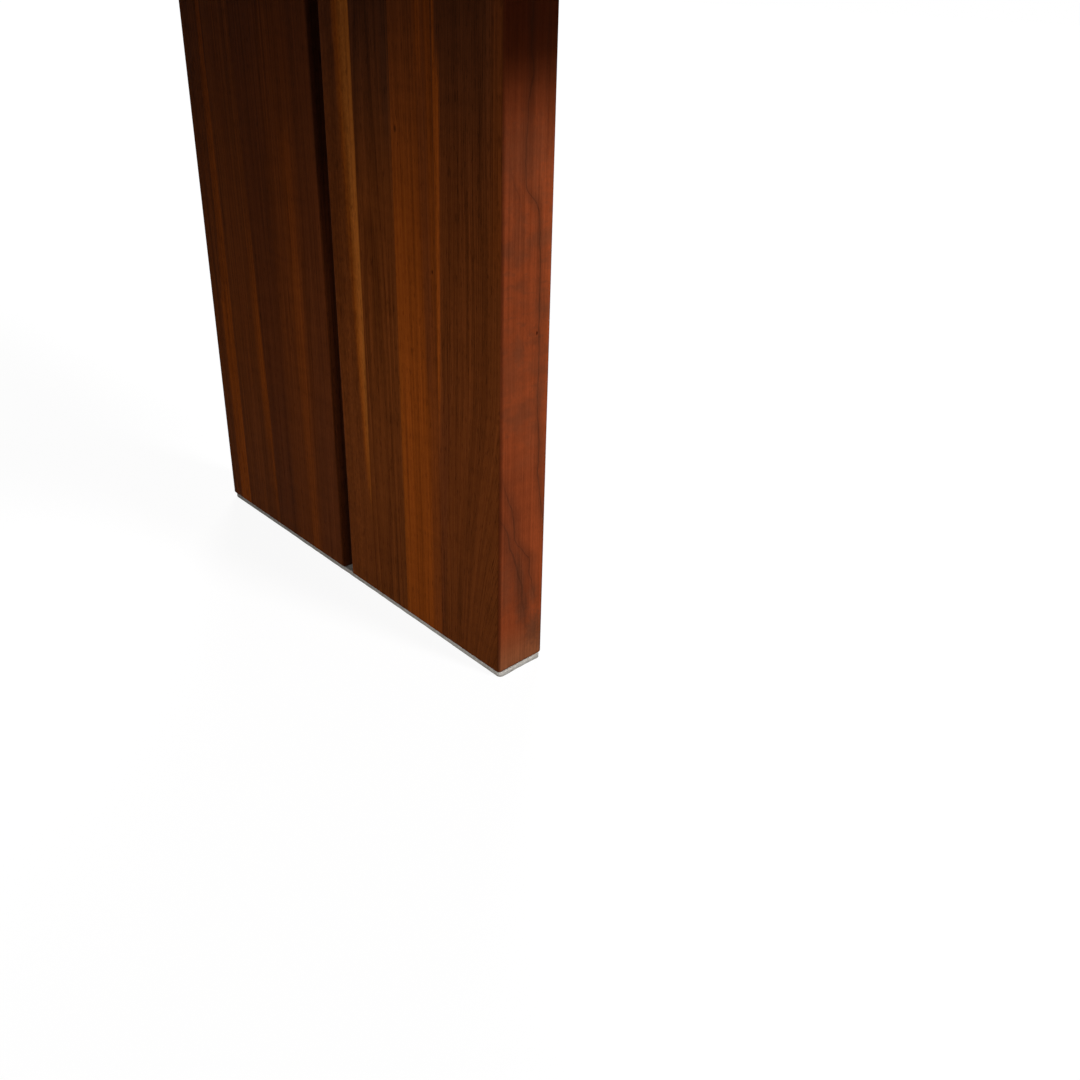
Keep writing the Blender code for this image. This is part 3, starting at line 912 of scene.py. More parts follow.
@dataclass(frozen=True)
class Walnut:
    """Oiled walnut as a pattern through the whole solid, so that every face agrees."""

    taper: float = 0.014
    sway_noise: Drawn = Drawn(7.0, 1.3)
    sway: float = 0.020
    drift: float = 0.014
    ripple_noise: Drawn = Drawn(60.0, 9.0)
    ripple: float = 0.0016
    ring_start: float = 0.35
    ring_peak: float = 0.90
    ring_dark: float = 0.46
    ring_least: float = 0.35
    fibre_noise: Drawn = Drawn(560.0, 6.0, Layers.FIBROUS)
    fibre_depth: float = 0.42
    streak_noise: Drawn = Drawn(110.0, 1.8, Layers.FIBROUS)
    streak_depth: float = 0.50
    line_noise: Drawn = Drawn(170.0, 2.2)
    line_width: float = 0.055
    line_clouds: Point2 = (0.30, 0.60)
    cloud_noise: Drawn = Drawn(16.0, 3.4)
    cloud_depth: float = 0.26
    pore_noise: Drawn = Drawn(800.0, 95.0, Layers.PLAIN)
    pore_limits: Point2 = (0.58, 0.70)
    pore_dark: float = 0.30
    fleck_noise: Drawn = Drawn(700.0, 330.0, Layers.CRISP)
    fleck_depth: float = 0.16
    curl_noise: Drawn = Drawn(14.0, 85.0, Layers.PLAIN)
    curl_depth: float = 0.12
    speck_noise: Drawn = Drawn(430.0, 230.0, Layers.CRISP)
    speck_depth: float = 0.34
    speck_soft: float = 0.002
    speck_fade: float = 0.012
    stray_noise: Drawn = Drawn(12.0, 9.0)
    glue_width: float = 0.0006
    glue_dark: float = 0.18
    # Painted shade on rounded edges: they are darkened and tinted red, and on the narrow face less so
    # towards its outer corner.
    edge_painted_shade: float = 0.46
    edge_painted_shade_tint: float = 0.40
    edge_shade_lift: float = 0.8
    edge_shade_lift_from: Point2 = (0.4, 0.9)
    # Painted shade on the walls of the gap between the two boards of a cheek: dark towards the top,
    # and lower down darker deeper in.
    gap_dark: float = 0.84
    gap_open: float = 0.24
    gap_inner: float = 0.70
    gap_inner_foot: float = 0.22
    gap_grain: float = 0.3
    gap_depth: Point2 = (0.002, 0.009)
    gap_rise: Point2 = (0.30, 0.46)
    gap_low: Point2 = (0.05, 0.25)
    gap_blend: float = 0.0018
    knot_shape: Colour = (1.0, 1.0, 0.55)
    knot_push: float = 1.4
    knot_flow: Point2 = (0.5, 6.0)
    knot_spot: Point2 = (0.4, 1.3)
    band_noise: Drawn = Drawn(22.0, 38.0, Layers.SMOKY, 3.0)
    band_limits: Point2 = (0.42, 0.66)
    band_dark: float = 0.50
    band_bright: float = 0.12
    band_low: float = 0.22
    band_high: float = 0.465
    band_blend: float = 0.05
    crimp_noise: Drawn = Drawn(70.0, 170.0, seed=8.0)
    crimp_limits: Point2 = (0.50, 0.68)
    crimp_dark: float = 0.34
    torn_noise: Drawn = Drawn(11.0, 190.0, Layers.FIBROUS)
    torn_reach: float = 1.6
    torn_middle: float = 0.8
    smoke_limits: Point2 = (0.1, 1.1)
    wobble: float = 0.13
    wobble_noise: Drawn = Drawn(3.0, 36.0, seed=5.0)
    wobble_ripple: float = 0.08
    flank_turn: Point2 = (0.25, 0.80)
    flank_calm: float = 0.75
    # Painted shade at the foot of the cheek boards, darker towards the floor; the narrow face takes
    # less of it.
    flank_foot: float = 0.5
    foot_painted_shade: float = 0.30
    foot_painted_shade_blend: Point2 = (-0.06, 0.30)
    # Painted shade under the top: the cheek boards are mixed towards a dark plum brown towards their
    # upper end, standing in for the table top's shadow.
    painted_under_top_shade: float = 0.74
    painted_under_top_shade_blend: Point2 = (0.38, 0.66)
    # Painted shade on the narrow face, darker towards its top, where the table top's shadow falls.
    narrow_painted_shade: float = 0.42
    narrow_painted_shade_blend: Point2 = (0.490, 0.580)
    narrow_foot: Point2 = (0.0, 0.060)
    seed_step: float = 7.3
    level: float = 1.0
    darkest: float = 0.03
    roughness: float = 0.46
    fibre_rough: float = 0.16
    pore_rough: float = 0.10
    specular: float = 0.003
    bump_height: float = 0.00012
    bump_strength: float = 0.6
    fibre_raised: float = 0.5
    pore_sunk: float = 0.8
    ring_sunk: float = 0.3

    def make(self, name: str, layout: StaveLayout) -> bpy.types.Material:
        """Makes the material of one face.

        Args:
            name: the material's name.
            layout: how its staves lie.

        Returns:
            The material.
        """
        tree = FinishTree(name)
        axes = layout.grain.value
        along, across, depth = (tree.place.part(axis) for axis in axes)
        share = (layout.rear - across) / layout.width
        rise = along / layout.reach
        tone, heart, grain, glue = self._staves(tree, layout, share, rise)
        figure, spacing, lined = (grain.part(axis) for axis in range(3))
        flank: Any = 0.0
        if layout.narrow_tone:
            flank = abs(tree.facing.part(axes[1])).smooth(*self.flank_turn)
        calm = 1 - flank * self.flank_calm
        seed = heart.part(2)
        span = across - heart.part(0)
        deep = depth - heart.part(1)

        sway = self.sway_noise.through(tree, along, seed, span, deep) - 0.5
        ripple = self.ripple_noise.through(tree, along, seed, span, deep) - 0.5
        around, knot = self._knots(tree, layout)
        flow = span + sway * self.drift + around
        if layout.fan:
            flow = flow - self._leaning(layout.fan, share, along) * (1 - flank)
        from_heart = tree.length(tree.vector(flow, deep, 0.0))
        distance = from_heart + along * self.taper + sway * self.sway + ripple * self.ripple
        phase = distance / spacing + seed
        ring = phase.fract()
        late = ring.smooth(self.ring_start, self.ring_peak) * (1 - ring.smooth(self.ring_peak, 1.0))
        year = tree.node("ShaderNodeTexWhiteNoise", {"noise_dimensions": "1D"}, {"W": phase.floor()})
        ring_dark = late * (self.ring_least + year * (1 - self.ring_least)) * figure * calm

        def drawn(noise: Drawn) -> Signal:
            """Noise that follows the grain."""
            return noise.through(tree, along, seed, flow, deep)

        fibre = drawn(self.fibre_noise)
        streak = drawn(self.streak_noise)
        cloud = drawn(self.cloud_noise)
        pore = drawn(self.pore_noise).smooth(*self.pore_limits)
        fleck = drawn(self.fleck_noise)
        curl = drawn(self.curl_noise)
        line = 1 - abs(drawn(self.line_noise) - 0.5).smooth(0.0, self.line_width)
        line = line * cloud.smooth(*self.line_clouds) * lined * calm

        light = (
            1.0
            + (fibre - 0.5) * (2 * self.fibre_depth)
            + (streak - 0.5) * (2 * self.streak_depth) * calm
            + (cloud - 0.5) * (2 * self.cloud_depth)
            + (curl - 0.5) * (2 * self.curl_depth)
            + (fleck - 0.5) * (2 * self.fleck_depth)
        )
        if layout.speckled:
            start, end = layout.speckled
            soft = self.speck_soft
            speck = (drawn(self.speck_noise) - 0.5) * share.smooth(start - soft, start + soft)
            speck = speck * (1 - share.smooth(end - self.speck_fade, end + soft))
            light = light + speck * (2 * self.speck_depth)
        pore = pore * calm
        dark = (1 - ring_dark * self.ring_dark) * (1 - pore * self.pore_dark) * (1 - line)
        # Painted shade: the cheek boards darken towards the top, as if in the table top's shadow.
        if layout.grain is Grain.UPRIGHT:
            painted_under_top_shade = along.smooth(*self.painted_under_top_shade_blend) * (self.painted_under_top_shade * layout.painted_under_top_shade)
            tone = tree.mix(painted_under_top_shade, tone, Tone.PLUM.value)
        tone = self._streaks(tree, layout, tone, share, along, rise)
        edge = tree.on_edge()
        if layout.narrow_tone:
            foot = 1 - along.smooth(*self.narrow_foot)
            narrow = tree.mix(foot, layout.narrow_tone.value, layout.foot_tone.value)
            banded = self._banded(along)
            # Painted shade: the narrow face darkens towards its top, as if in the table top's shadow.
            level = 1 - along.smooth(*self.narrow_painted_shade_blend) * self.narrow_painted_shade
            narrow = tree.scaled(narrow, level * (1 + banded * self.band_bright))
            tone = tree.mix(flank, tone, narrow)
            inward = (depth - layout.face) / layout.thickness
            haze = self._smokes(tree, layout, inward, along, banded) * flank
            tone = tree.mix(haze, tone, Tone.HAZE.value)
            veins = self._veins(tree, layout, inward, rise, ripple) * flank
            tone = tree.mix(veins, tone, Tone.DUSK.value)
            # Less painted edge shade towards the narrow face's outer corner.
            edge = edge * (1 - inward.smooth(*self.edge_shade_lift_from) * self.edge_shade_lift)
        # Painted shade: the walls of the gap between the boards are darkened, as little light reaches
        # into it.
        if layout.gap_painted_shade_edge:
            high = along.smooth(*self.gap_rise)
            blend = self.gap_blend + high * layout.gap_widens
            stained = 1 - abs(across).smooth(layout.gap_painted_shade_edge, layout.gap_painted_shade_edge + blend)
            low = 1 - along.smooth(*self.gap_low)
            inner = (depth - layout.face).smooth(*self.gap_depth)
            inner = inner * (self.gap_inner + low * self.gap_inner_foot)
            stained = stained * high.most(inner).most(self.gap_open) * self.gap_dark
            tone = tree.mix(stained, tone, Tone.SOOT.value)
            dark = dark * (1 - stained * self.gap_grain)
        # Painted shade on rounded edges: darker and redder.
        tone = tree.mix(edge * self.edge_painted_shade_tint, tone, Tone.GARNET.value)
        shade = light * dark * (1 - glue * self.glue_dark) * (1 - edge * self.edge_painted_shade)
        # Painted shade: the cheek boards darken towards the floor.
        if layout.grain is Grain.UPRIGHT:
            foot_painted_shade = self.foot_painted_shade * (1 - flank * self.flank_foot)
            shade = shade * (1 - (1 - along.smooth(*self.foot_painted_shade_blend)) * foot_painted_shade)
        shade = (shade * (1 - knot)).most(self.darkest) * self.level
        height = fibre * self.fibre_raised - pore * self.pore_sunk - ring_dark * self.ring_sunk
        return tree.surface(
            Base_Color=tree.scaled(tone, shade),
            Roughness=self.roughness + (fibre - 0.5) * self.fibre_rough + pore * self.pore_rough,
            Specular_IOR_Level=self.specular,
            Normal=tree.bump(height, self.bump_height, self.bump_strength),
        )

    def _staves(
        self, tree: FinishTree, layout: StaveLayout, share: Signal, rise: Signal
    ) -> tuple[Signal, Signal, Signal, Signal]:
        """Lays the staves beside each other.

        Args:
            tree: the material's tree.
            layout: how the staves lie.
            share: the place across the face.
            rise: the place along it.

        Returns:
            The tone, the heart with a seed as its third part, the grain, and the glue lines. The
            parts of the grain are the strength of the figure, the ring spacing and the strength of
            the fine lines.
        """
        first = layout.staves[0]
        tone: Any = first.tone.value
        heart: Any = self._heart(layout, first)
        grain: Any = (first.figure, first.spacing, first.lines)
        glue: Any = 0.0
        for stave in layout.staves[1:]:
            edge = stave.foot + rise * (stave.head - stave.foot)
            past = share - edge
            beyond = past.above(0.0)
            tone = tree.mix(past.smooth(-stave.soft, stave.soft), tone, stave.tone.value)
            heart = tree.mix_vector(beyond, heart, self._heart(layout, stave))
            grain = tree.mix_vector(beyond, grain, (stave.figure, stave.spacing, stave.lines))
            line = 1 - abs(past).smooth(0.0, self.glue_width / layout.width)
            glue = line.most(glue)
        return tone, heart, grain, glue

    def _heart(self, layout: StaveLayout, stave: Stave) -> Colour:
        """Where a stave's heart lies, with its seed as the third part."""
        across = layout.rear - stave.middle * layout.width
        offset_across, offset_deep = stave.cut.value
        return (across + offset_across, layout.face + offset_deep, stave.seed * self.seed_step)

    @staticmethod
    def _leaning(fan: Fan, share: Signal, along: Signal) -> Signal:
        """How far the grain is pushed aside towards the foot."""
        low = (1 - along / fan.height).most(0.0) ** fan.power
        return low * share.smooth(fan.start, fan.end) * fan.reach

    def _streaks(
        self,
        tree: FinishTree,
        layout: StaveLayout,
        tone: Signal,
        share: Signal,
        along: Signal,
        rise: Signal,
    ) -> Signal:
        """Lays the bands of other colour over the staves.

        Args:
            tree: the material's tree.
            layout: how the bands lie.
            tone: the colour so far.
            share: the place across the face.
            along: the place along it.
            rise: the same as a share of the reach.

        Returns:
            The colour with the bands.
        """
        for number, streak in enumerate(layout.streaks):
            stray = self.stray_noise.over(tree, along, share, number * self.seed_step) - 0.5
            climb = ((rise - streak.bend_from) / (1 - streak.bend_from)).most(0.0) ** streak.bend
            foot, head = streak.left
            left = foot + climb * (head - foot) + stray * (2 * streak.wander)
            foot, head = streak.right
            right = foot + rise * (head - foot)
            inside = (share - left).smooth(-streak.left_soft, streak.left_soft)
            inside = inside * (right - share).smooth(-streak.right_soft, streak.right_soft)
            inside = inside * rise.smooth(streak.low, streak.low + streak.fade)
            inside = inside * (1 - rise.smooth(streak.high - streak.fade, streak.high))
            tone = tree.mix(inside * streak.strength, tone, streak.tone.value)
        return tone

    def _knots(self, tree: FinishTree, layout: StaveLayout) -> tuple[Any, Any]:
        """The pin knots.

        Args:
            tree: the material's tree.
            layout: where the knots are.

        Returns:
            How far the grain is pushed aside, and how dark each place is.
        """
        pushed: Any = 0.0
        dark: Any = 0.0
        for knot in layout.knots:
            offset = tree.vector_sum("SUBTRACT", tree.place, knot.place)
            shaped = tree.vector_sum("MULTIPLY", offset, self.knot_shape)
            away = tree.length(shaped) / knot.radius
            push = knot.radius * self.knot_push
            pushed = (1 - away.smooth(*self.knot_flow)) * push + pushed
            dark = ((1 - away.smooth(*self.knot_spot)) * knot.strength).most(dark)
        return pushed, dark

    def _veins(
        self, tree: FinishTree, layout: StaveLayout, inward: Signal, rise: Signal, ripple: Signal
    ) -> Any:
        """The dark lines that wander over the narrow face.

        Args:
            tree: the material's tree.
            layout: where the veins are.
            inward: the place into the face, as a share of the thickness.
            rise: the height as a share of the reach.
            ripple: small noise that the lines wander by.

        Returns:
            How dark the veins make each place.
        """
        wobble = self.wobble_noise.over(tree, rise * layout.reach, inward) - 0.5
        wobble = wobble * self.wobble + ripple * self.wobble_ripple
        dark: Any = 0.0
        for vein in layout.veins:
            stops = [(height / layout.reach, (share,) * 3) for height, share in vein.path]
            course = tree.node("ShaderNodeValToRGB", {"stops": stops}, {0: rise})
            aside = abs((inward - course - wobble) * layout.thickness)
            core = 1 - aside.smooth(0.0, vein.width)
            halo = (1 - aside.smooth(0.0, vein.halo_width)) * vein.halo
            fade = vein.fade / layout.reach
            low, high = stops[0][0], stops[-1][0]
            inside = rise.smooth(low - fade, low + fade) * (1 - rise.smooth(high - fade, high + fade))
            dark = (core.most(halo) * inside * vein.strength).most(dark)
        return dark

    def _banded(self, along: Signal) -> Signal:
        """1 at the heights where cross bands lie over the narrow face."""
        low, high, blend = self.band_low, self.band_high, self.band_blend
        banded = along.smooth(low - blend, low + blend)
        return banded * (1 - along.smooth(high - blend, high + blend))

    def _smokes(
        self, tree: FinishTree, layout: StaveLayout, inward: Signal, along: Signal, banded: Signal
    ) -> Signal:
        """The cross bands and the smoky patches of the narrow face.

        Args:
            tree: the material's tree.
            layout: where the patches are.
            inward: the place into the face, as a share of the thickness.
            along: the height.
            banded: 1 at the heights where the cross bands lie.

        Returns:
            How dark they make each place.
        """
        deep = inward * layout.thickness
        band = self.band_noise.over(tree, along, deep).smooth(*self.band_limits) * self.band_dark
        crimp = self.crimp_noise.over(tree, along, deep).smooth(*self.crimp_limits)
        dark = band.most(crimp * self.crimp_dark) * banded
        torn = self.torn_noise.over(tree, along, inward) * self.torn_reach
        for smoke in layout.smokes:
            up = (along - smoke.height) / smoke.half_height
            over = (inward - smoke.depth) / smoke.half_depth
            away = tree.length(tree.vector(up, over, 0.0)) + torn - self.torn_middle
            dark = dark.most((1 - away.smooth(*self.smoke_limits)) * smoke.strength)
        return dark


@dataclass(frozen=True)
class UnseenFace:
    """A face that the photograph doesn't show, with staves of uneven width drawn at random.

    The ranges of widths and of streaks are shares of an even stave's width.
    """

    seed: int
    count: int
    rear: float
    width: float
    face: float
    reach: float
    grain: Grain
    tones: tuple[Tone, ...] = (
        Tone.SMOKED, Tone.UMBER, Tone.COPPER, Tone.RUSSET, Tone.NUTMEG, Tone.TAN,
    )
    bright_tones: tuple[Tone, ...] = (Tone.HONEY, Tone.AMBER)
    widths: Point2 = (0.75, 1.25)
    figures: Point2 = (0.45, 1.0)
    seeds: Point2 = (1.0, 9.0)
    streak_feet: Point2 = (0.15, 0.35)
    streak_heads: Point2 = (0.20, 0.50)
    streak_soft: float = 0.12
    streak_low: float = -1.0
    streak_wander: float = 0.08
    streak_strength: float = 0.6

    def layout(self) -> StaveLayout:
        """Draws the layout.

        Returns:
            The layout.
        """
        draw = random.Random(self.seed)
        widths = [draw.uniform(*self.widths) for _ in range(self.count)]
        total = sum(widths)
        staves = []
        start = 0.0
        tone = Tone.AMBER
        for number, part in enumerate(widths):
            end = start + part / total
            tone = draw.choice([other for other in self.tones if other is not tone])
            staves.append(
                Stave(
                    foot=start,
                    head=start,
                    tone=tone,
                    cut=draw.choice(tuple(Cut)),
                    figure=draw.uniform(*self.figures),
                    middle=(start + end) / 2,
                    seed=draw.uniform(*self.seeds) + number,
                )
            )
            start = end
        share = 1 / self.count
        bright_staves = draw.sample(staves[1:], len(self.bright_tones))
        streaks = []
        for stave, bright in zip(bright_staves, self.bright_tones):
            foot = stave.foot - share * draw.uniform(*self.streak_feet)
            head = stave.foot - share * draw.uniform(*self.streak_heads)
            streaks.append(
                Streak(
                    bright,
                    (foot, head),
                    (stave.foot, stave.foot),
                    left_soft=share * self.streak_soft,
                    low=self.streak_low,
                    wander=share * self.streak_wander,
                    strength=self.streak_strength,
                )
            )
        return StaveLayout(
            tuple(staves), self.rear, self.width, self.face, self.reach, self.grain, tuple(streaks)
        )


# Other finishes


@dataclass(frozen=True)
class StainedSpline:
    """Wood stained near black, with its grain just showing."""

    colour: Colour = (0.010, 0.0052, 0.0038)
    worn: Colour = (0.026, 0.014, 0.010)
    fibre_across: float = 500.0
    fibre_along: float = 9.0
    worn_limits: Point2 = (0.45, 0.75)
    roughness: float = 0.62
    rough_swing: float = 0.2
    specular: float = 0.08
    bump_height: float = 0.0001
    bump_strength: float = 0.7

    def make(self) -> bpy.types.Material:
        """Makes the material.

        Returns:
            The material.
        """
        tree = FinishTree("dark_spline_stain")
        x, y, z = (tree.place.part(axis) for axis in range(3))
        across = self.fibre_across
        fibre = tree.noise_at(x * across, y * across, z * self.fibre_along, Layers.FIBROUS)
        return tree.surface(
            Base_Color=tree.mix(fibre.smooth(*self.worn_limits), self.colour, self.worn),
            Roughness=self.roughness + (fibre - 0.5) * self.rough_swing,
            Specular_IOR_Level=self.specular,
            Normal=tree.bump(fibre, self.bump_height, self.bump_strength),
        )


@dataclass(frozen=True)
class WoolFelt:
    """Pressed wool felt: matted fibres of mixed greys, with painted shade towards its foot."""

    pale: Colour = (0.640, 0.606, 0.556)
    dark: Colour = (0.400, 0.375, 0.336)
    # Painted shade along the felt's foot, and how high it reaches.
    foot_shade: float = 0.30
    foot_height: float = 0.0042
    mat_scale: float = 1400.0
    mat_share: float = 0.6
    clump_scale: float = 220.0
    fleck_limits: Point2 = (0.36, 0.64)
    roughness: float = 0.9
    rough_swing: float = 0.1
    specular: float = 0.1
    bump_height: float = 0.0004
    bump_strength: float = 0.8
    sheen: float = 0.25

    def make(self) -> bpy.types.Material:
        """Makes the material.

        Returns:
            The material.
        """
        tree = FinishTree("felt_wool")
        mat = tree.noise(tree.place, self.mat_scale, Layers.MATTED)
        clump = tree.noise(tree.place, self.clump_scale)
        fleck = mat * self.mat_share + clump * (1 - self.mat_share)
        # Painted shade: the felt darkens towards the floor.
        shaded_felt_foot = 1 - tree.place.part(2).smooth(0.0, self.foot_height)
        colour = tree.mix(fleck.smooth(*self.fleck_limits), self.dark, self.pale)
        return tree.surface(
            Base_Color=tree.scaled(colour, 1 - shaded_felt_foot * self.foot_shade),
            Roughness=self.roughness + (mat - 0.5) * self.rough_swing,
            Specular_IOR_Level=self.specular,
            Sheen_Weight=self.sheen,
            Normal=tree.bump(mat, self.bump_height, self.bump_strength),
        )


@dataclass(frozen=True)
class PowderCoat:
    """Black powder coat: a fine orange peel, rubbed a little along its edges."""

    colour: Colour = (0.017, 0.017, 0.018)
    dusty: Colour = (0.024, 0.024, 0.025)
    rubbed: Colour = (0.060, 0.058, 0.056)
    rubbed_limits: Point2 = (0.50, 0.62)
    rubbed_share: float = 0.5
    peel_scale: float = 900.0
    dust_scale: float = 45.0
    roughness: float = 0.44
    rough_swing: float = 0.18
    bump_height: float = 0.00006
    bump_strength: float = 0.8

    def make(self) -> bpy.types.Material:
        """Makes the material.

        Returns:
            The material.
        """
        tree = FinishTree("black_steel_powder_coat")
        peel = tree.noise(tree.place, self.peel_scale)
        dust = tree.noise(tree.place, self.dust_scale, Layers.DUSTY)
        rubbed = tree.on_edge() * dust.smooth(*self.rubbed_limits) * self.rubbed_share
        return tree.surface(
            Base_Color=tree.mix(rubbed, tree.mix(dust, self.colour, self.dusty), self.rubbed),
            Roughness=self.roughness + (dust - 0.5) * self.rough_swing,
            Normal=tree.bump(peel, self.bump_height, self.bump_strength),
        )


@dataclass(frozen=True)
class PlatedMetal:
    """A small metal part: its plating, clouded by handling."""

    name: str
    colour: Colour
    clouded: Colour
    roughness: float
    cloud_scale: float = 260.0
    cloud_limits: Point2 = (0.38, 0.66)
    rough_swing: float = 0.22
    grain_scale: float = 2600.0
    bump_height: float = 0.00002
    bump_strength: float = 0.6

    def make(self) -> bpy.types.Material:
        """Makes the material.

        Returns:
            The material.
        """
        tree = FinishTree(self.name)
        cloud = tree.noise(tree.place, self.cloud_scale, Layers.DUSTY)
        grain = tree.noise(tree.place, self.grain_scale)
        return tree.surface(
            Base_Color=tree.mix(cloud.smooth(*self.cloud_limits), self.colour, self.clouded),
            Metallic=1.0,
            Roughness=self.roughness + (cloud - 0.5) * self.rough_swing,
            Normal=tree.bump(grain, self.bump_height, self.bump_strength),
        )


# Sub-assemblies


@dataclass
class Cheek:
    """One leg of the table: two boards, the spline between them and the felt below."""

    side: str
    corner_radius: float = 0.003
    groove_clearance: float = 0.0003
    corner_steps: int = 8
    foot_steps: int = 8
    crease: float = math.radians(40)
    felt_inset: float = 0.0011
    felt_longer: float = 0.0005
    felt_corner: float = 0.0045
    felt_rounding: float = 0.0011
    felt_pitch: float = 0.004
    felt_wave: float = 0.00035
    felt_wave_carried: float = 0.6
    felt_wave_ease: float = 4.0
    fibre_length: float = 0.0011
    fibre_radius: float = 0.000022
    fibre_lowest: float = 0.0015
    fibre_density: float = 420000.0

    def build_board(
        self, end: str, loft: LoftTree, material: bpy.types.Material
    ) -> bpy.types.Object:
        """Builds one board with its groove and its eased foot.

        Args:
            end: front or rear.
            loft: the tree that raises a section.
            material: the board's walnut.

        Returns:
            The board.
        """
        node = f"{self.side}_{end}_board"
        low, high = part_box(node)
        spline_low, spline_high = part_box(f"{self.side}_spline")
        middle = (low + high) / 2
        toward = 1 if middle.y < 0 else -1
        half_x = (high.x - low.x) / 2
        half_y = (high.y - low.y) / 2
        spline_reach = max(abs(spline_low.y), abs(spline_high.y))
        groove_floor = spline_reach + self.groove_clearance - (abs(middle.y) - half_y)
        groove_half = (spline_high.x - spline_low.x) / 2 + self.groove_clearance
        section = self._board_section(half_x, half_y, groove_half, groove_floor)
        outline = section.mesh(f"{node}_outline")
        for vertex in outline.vertices:
            vertex.co = (middle.x + toward * vertex.co.x, middle.y + toward * vertex.co.y, 0.0)
        for item in outline.attributes["draw"].data:
            item.vector = (toward * item.vector[0], toward * item.vector[1], 0.0)
        values = {
            "Foot": low.z,
            "Head": high.z,
            "Foot Radius": self.corner_radius,
            "Head Radius": 0.0,
            "Crease": self.crease,
            "Steps": self.foot_steps,
            "Finish": material,
        }
        board = loft.bake(f"{node}_oiled", outline, values)
        finish_piece(board, [node], material)
        return board

    def _board_section(
        self, half_x: float, half_y: float, groove_half: float, groove_floor: float
    ) -> Section:
        """The section of a board whose groove opens at +Y.

        Args:
            half_x: half its thickness.
            half_y: half its width.
            groove_half: half the groove's width.
            groove_floor: how deep the groove is.

        Returns:
            The section, counter-clockwise from its +X corner at +Y.
        """
        section = Section()
        radius = self.corner_radius
        x = half_x - radius
        y = half_y - radius
        section.add_corner((x, y), radius, 0, self.corner_steps)
        section.add((groove_half, half_y), (0.0, -1.0))
        section.add((groove_half, half_y - groove_floor), (0.0, 0.0))
        section.add((-groove_half, half_y - groove_floor), (0.0, 0.0))
        section.add((-groove_half, half_y), (0.0, -1.0))
        section.add_corner((-x, y), radius, 1, self.corner_steps)
        section.add_corner((-x, -y), radius, 2, self.corner_steps)
        section.add_corner((x, -y), radius, 3, self.corner_steps)
        return section

    def build_felt(
        self, loft: LoftTree, fibres: "FibreTree", material: bpy.types.Material
    ) -> bpy.types.Object:
        """Builds the felt strip, a little wavy along its sides, with loose fibres.

        Args:
            loft: the tree that raises a section.
            fibres: the tree that adds the fibres.
            material: the felt.

        Returns:
            The strip.
        """
        node = f"{self.side}_felt_strip"
        low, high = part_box(node)
        middle = (low + high) / 2
        half_x = (high.x - low.x - self.felt_inset) / 2
        half_y = (high.y - low.y) / 2 + self.felt_longer
        middle.x += math.copysign(self.felt_inset / 2, middle.x)
        draw = random.Random(node)
        section = Section()
        radius = self.felt_corner
        corners = ((1, 1), (-1, 1), (-1, -1), (1, -1))
        for quarter, (way_x, way_y) in enumerate(corners):
            centre = (
                middle.x + way_x * (half_x - radius),
                middle.y + way_y * (half_y - radius),
            )
            section.add_corner(centre, radius, quarter, self.corner_steps)
            after = corners[(quarter + 1) % len(corners)]
            self._felt_side(section, middle, (half_x, half_y), (way_x, way_y), after, draw)
        values = {
            "Foot": low.z,
            "Head": high.z,
            "Foot Radius": self.felt_rounding / 2,
            "Head Radius": self.felt_rounding,
            "Crease": self.crease,
            "Steps": self.foot_steps // 2,
            "Finish": material,
        }
        body = loft.bake(f"{node}_body", section.mesh(f"{node}_outline"), values)
        values = {
            "Length": self.fibre_length,
            "Thickness": self.fibre_radius,
            "Density": self.fibre_density,
            "Lowest": low.z + self.fibre_lowest,
            "Seed": SIDES.index(self.side),
            "Finish": material,
        }
        strip = fibres.bake(f"{node}_pressed", body.data, values)
        bpy.data.objects.remove(body)
        finish_piece(strip, [node], material)
        return strip

    def _felt_side(
        self,
        section: Section,
        middle: Vector,
        halves: Point2,
        start: tuple[int, int],
        after: tuple[int, int],
        draw: random.Random,
    ) -> None:
        """Adds the points between two corners of the felt.

        Args:
            section: the section so far.
            middle: the middle of the strip.
            halves: half its size along X and Y.
            start: which corner the side starts at.
            after: which corner it ends at.
            draw: where its small waves come from.
        """
        inner = [half - self.felt_corner for half in halves]
        run = 1 if start[0] == after[0] else 0
        out = 1 - run
        count = max(2, round(2 * inner[run] / self.felt_pitch))
        drawn_in = [0.0, 0.0]
        drawn_in[out] = -float(start[out])
        wave = 0.0
        for step in range(1, count):
            ease = min(1.0, self.felt_wave_ease * min(step, count - step) / count)
            wave = self.felt_wave_carried * wave + draw.uniform(0.0, self.felt_wave) * ease
            point = [0.0, 0.0]
            point[run] = middle[run] + start[run] * inner[run] * (1 - 2 * step / count)
            point[out] = middle[out] + start[out] * (halves[out] - wave)
            section.add(tuple(point), tuple(drawn_in))


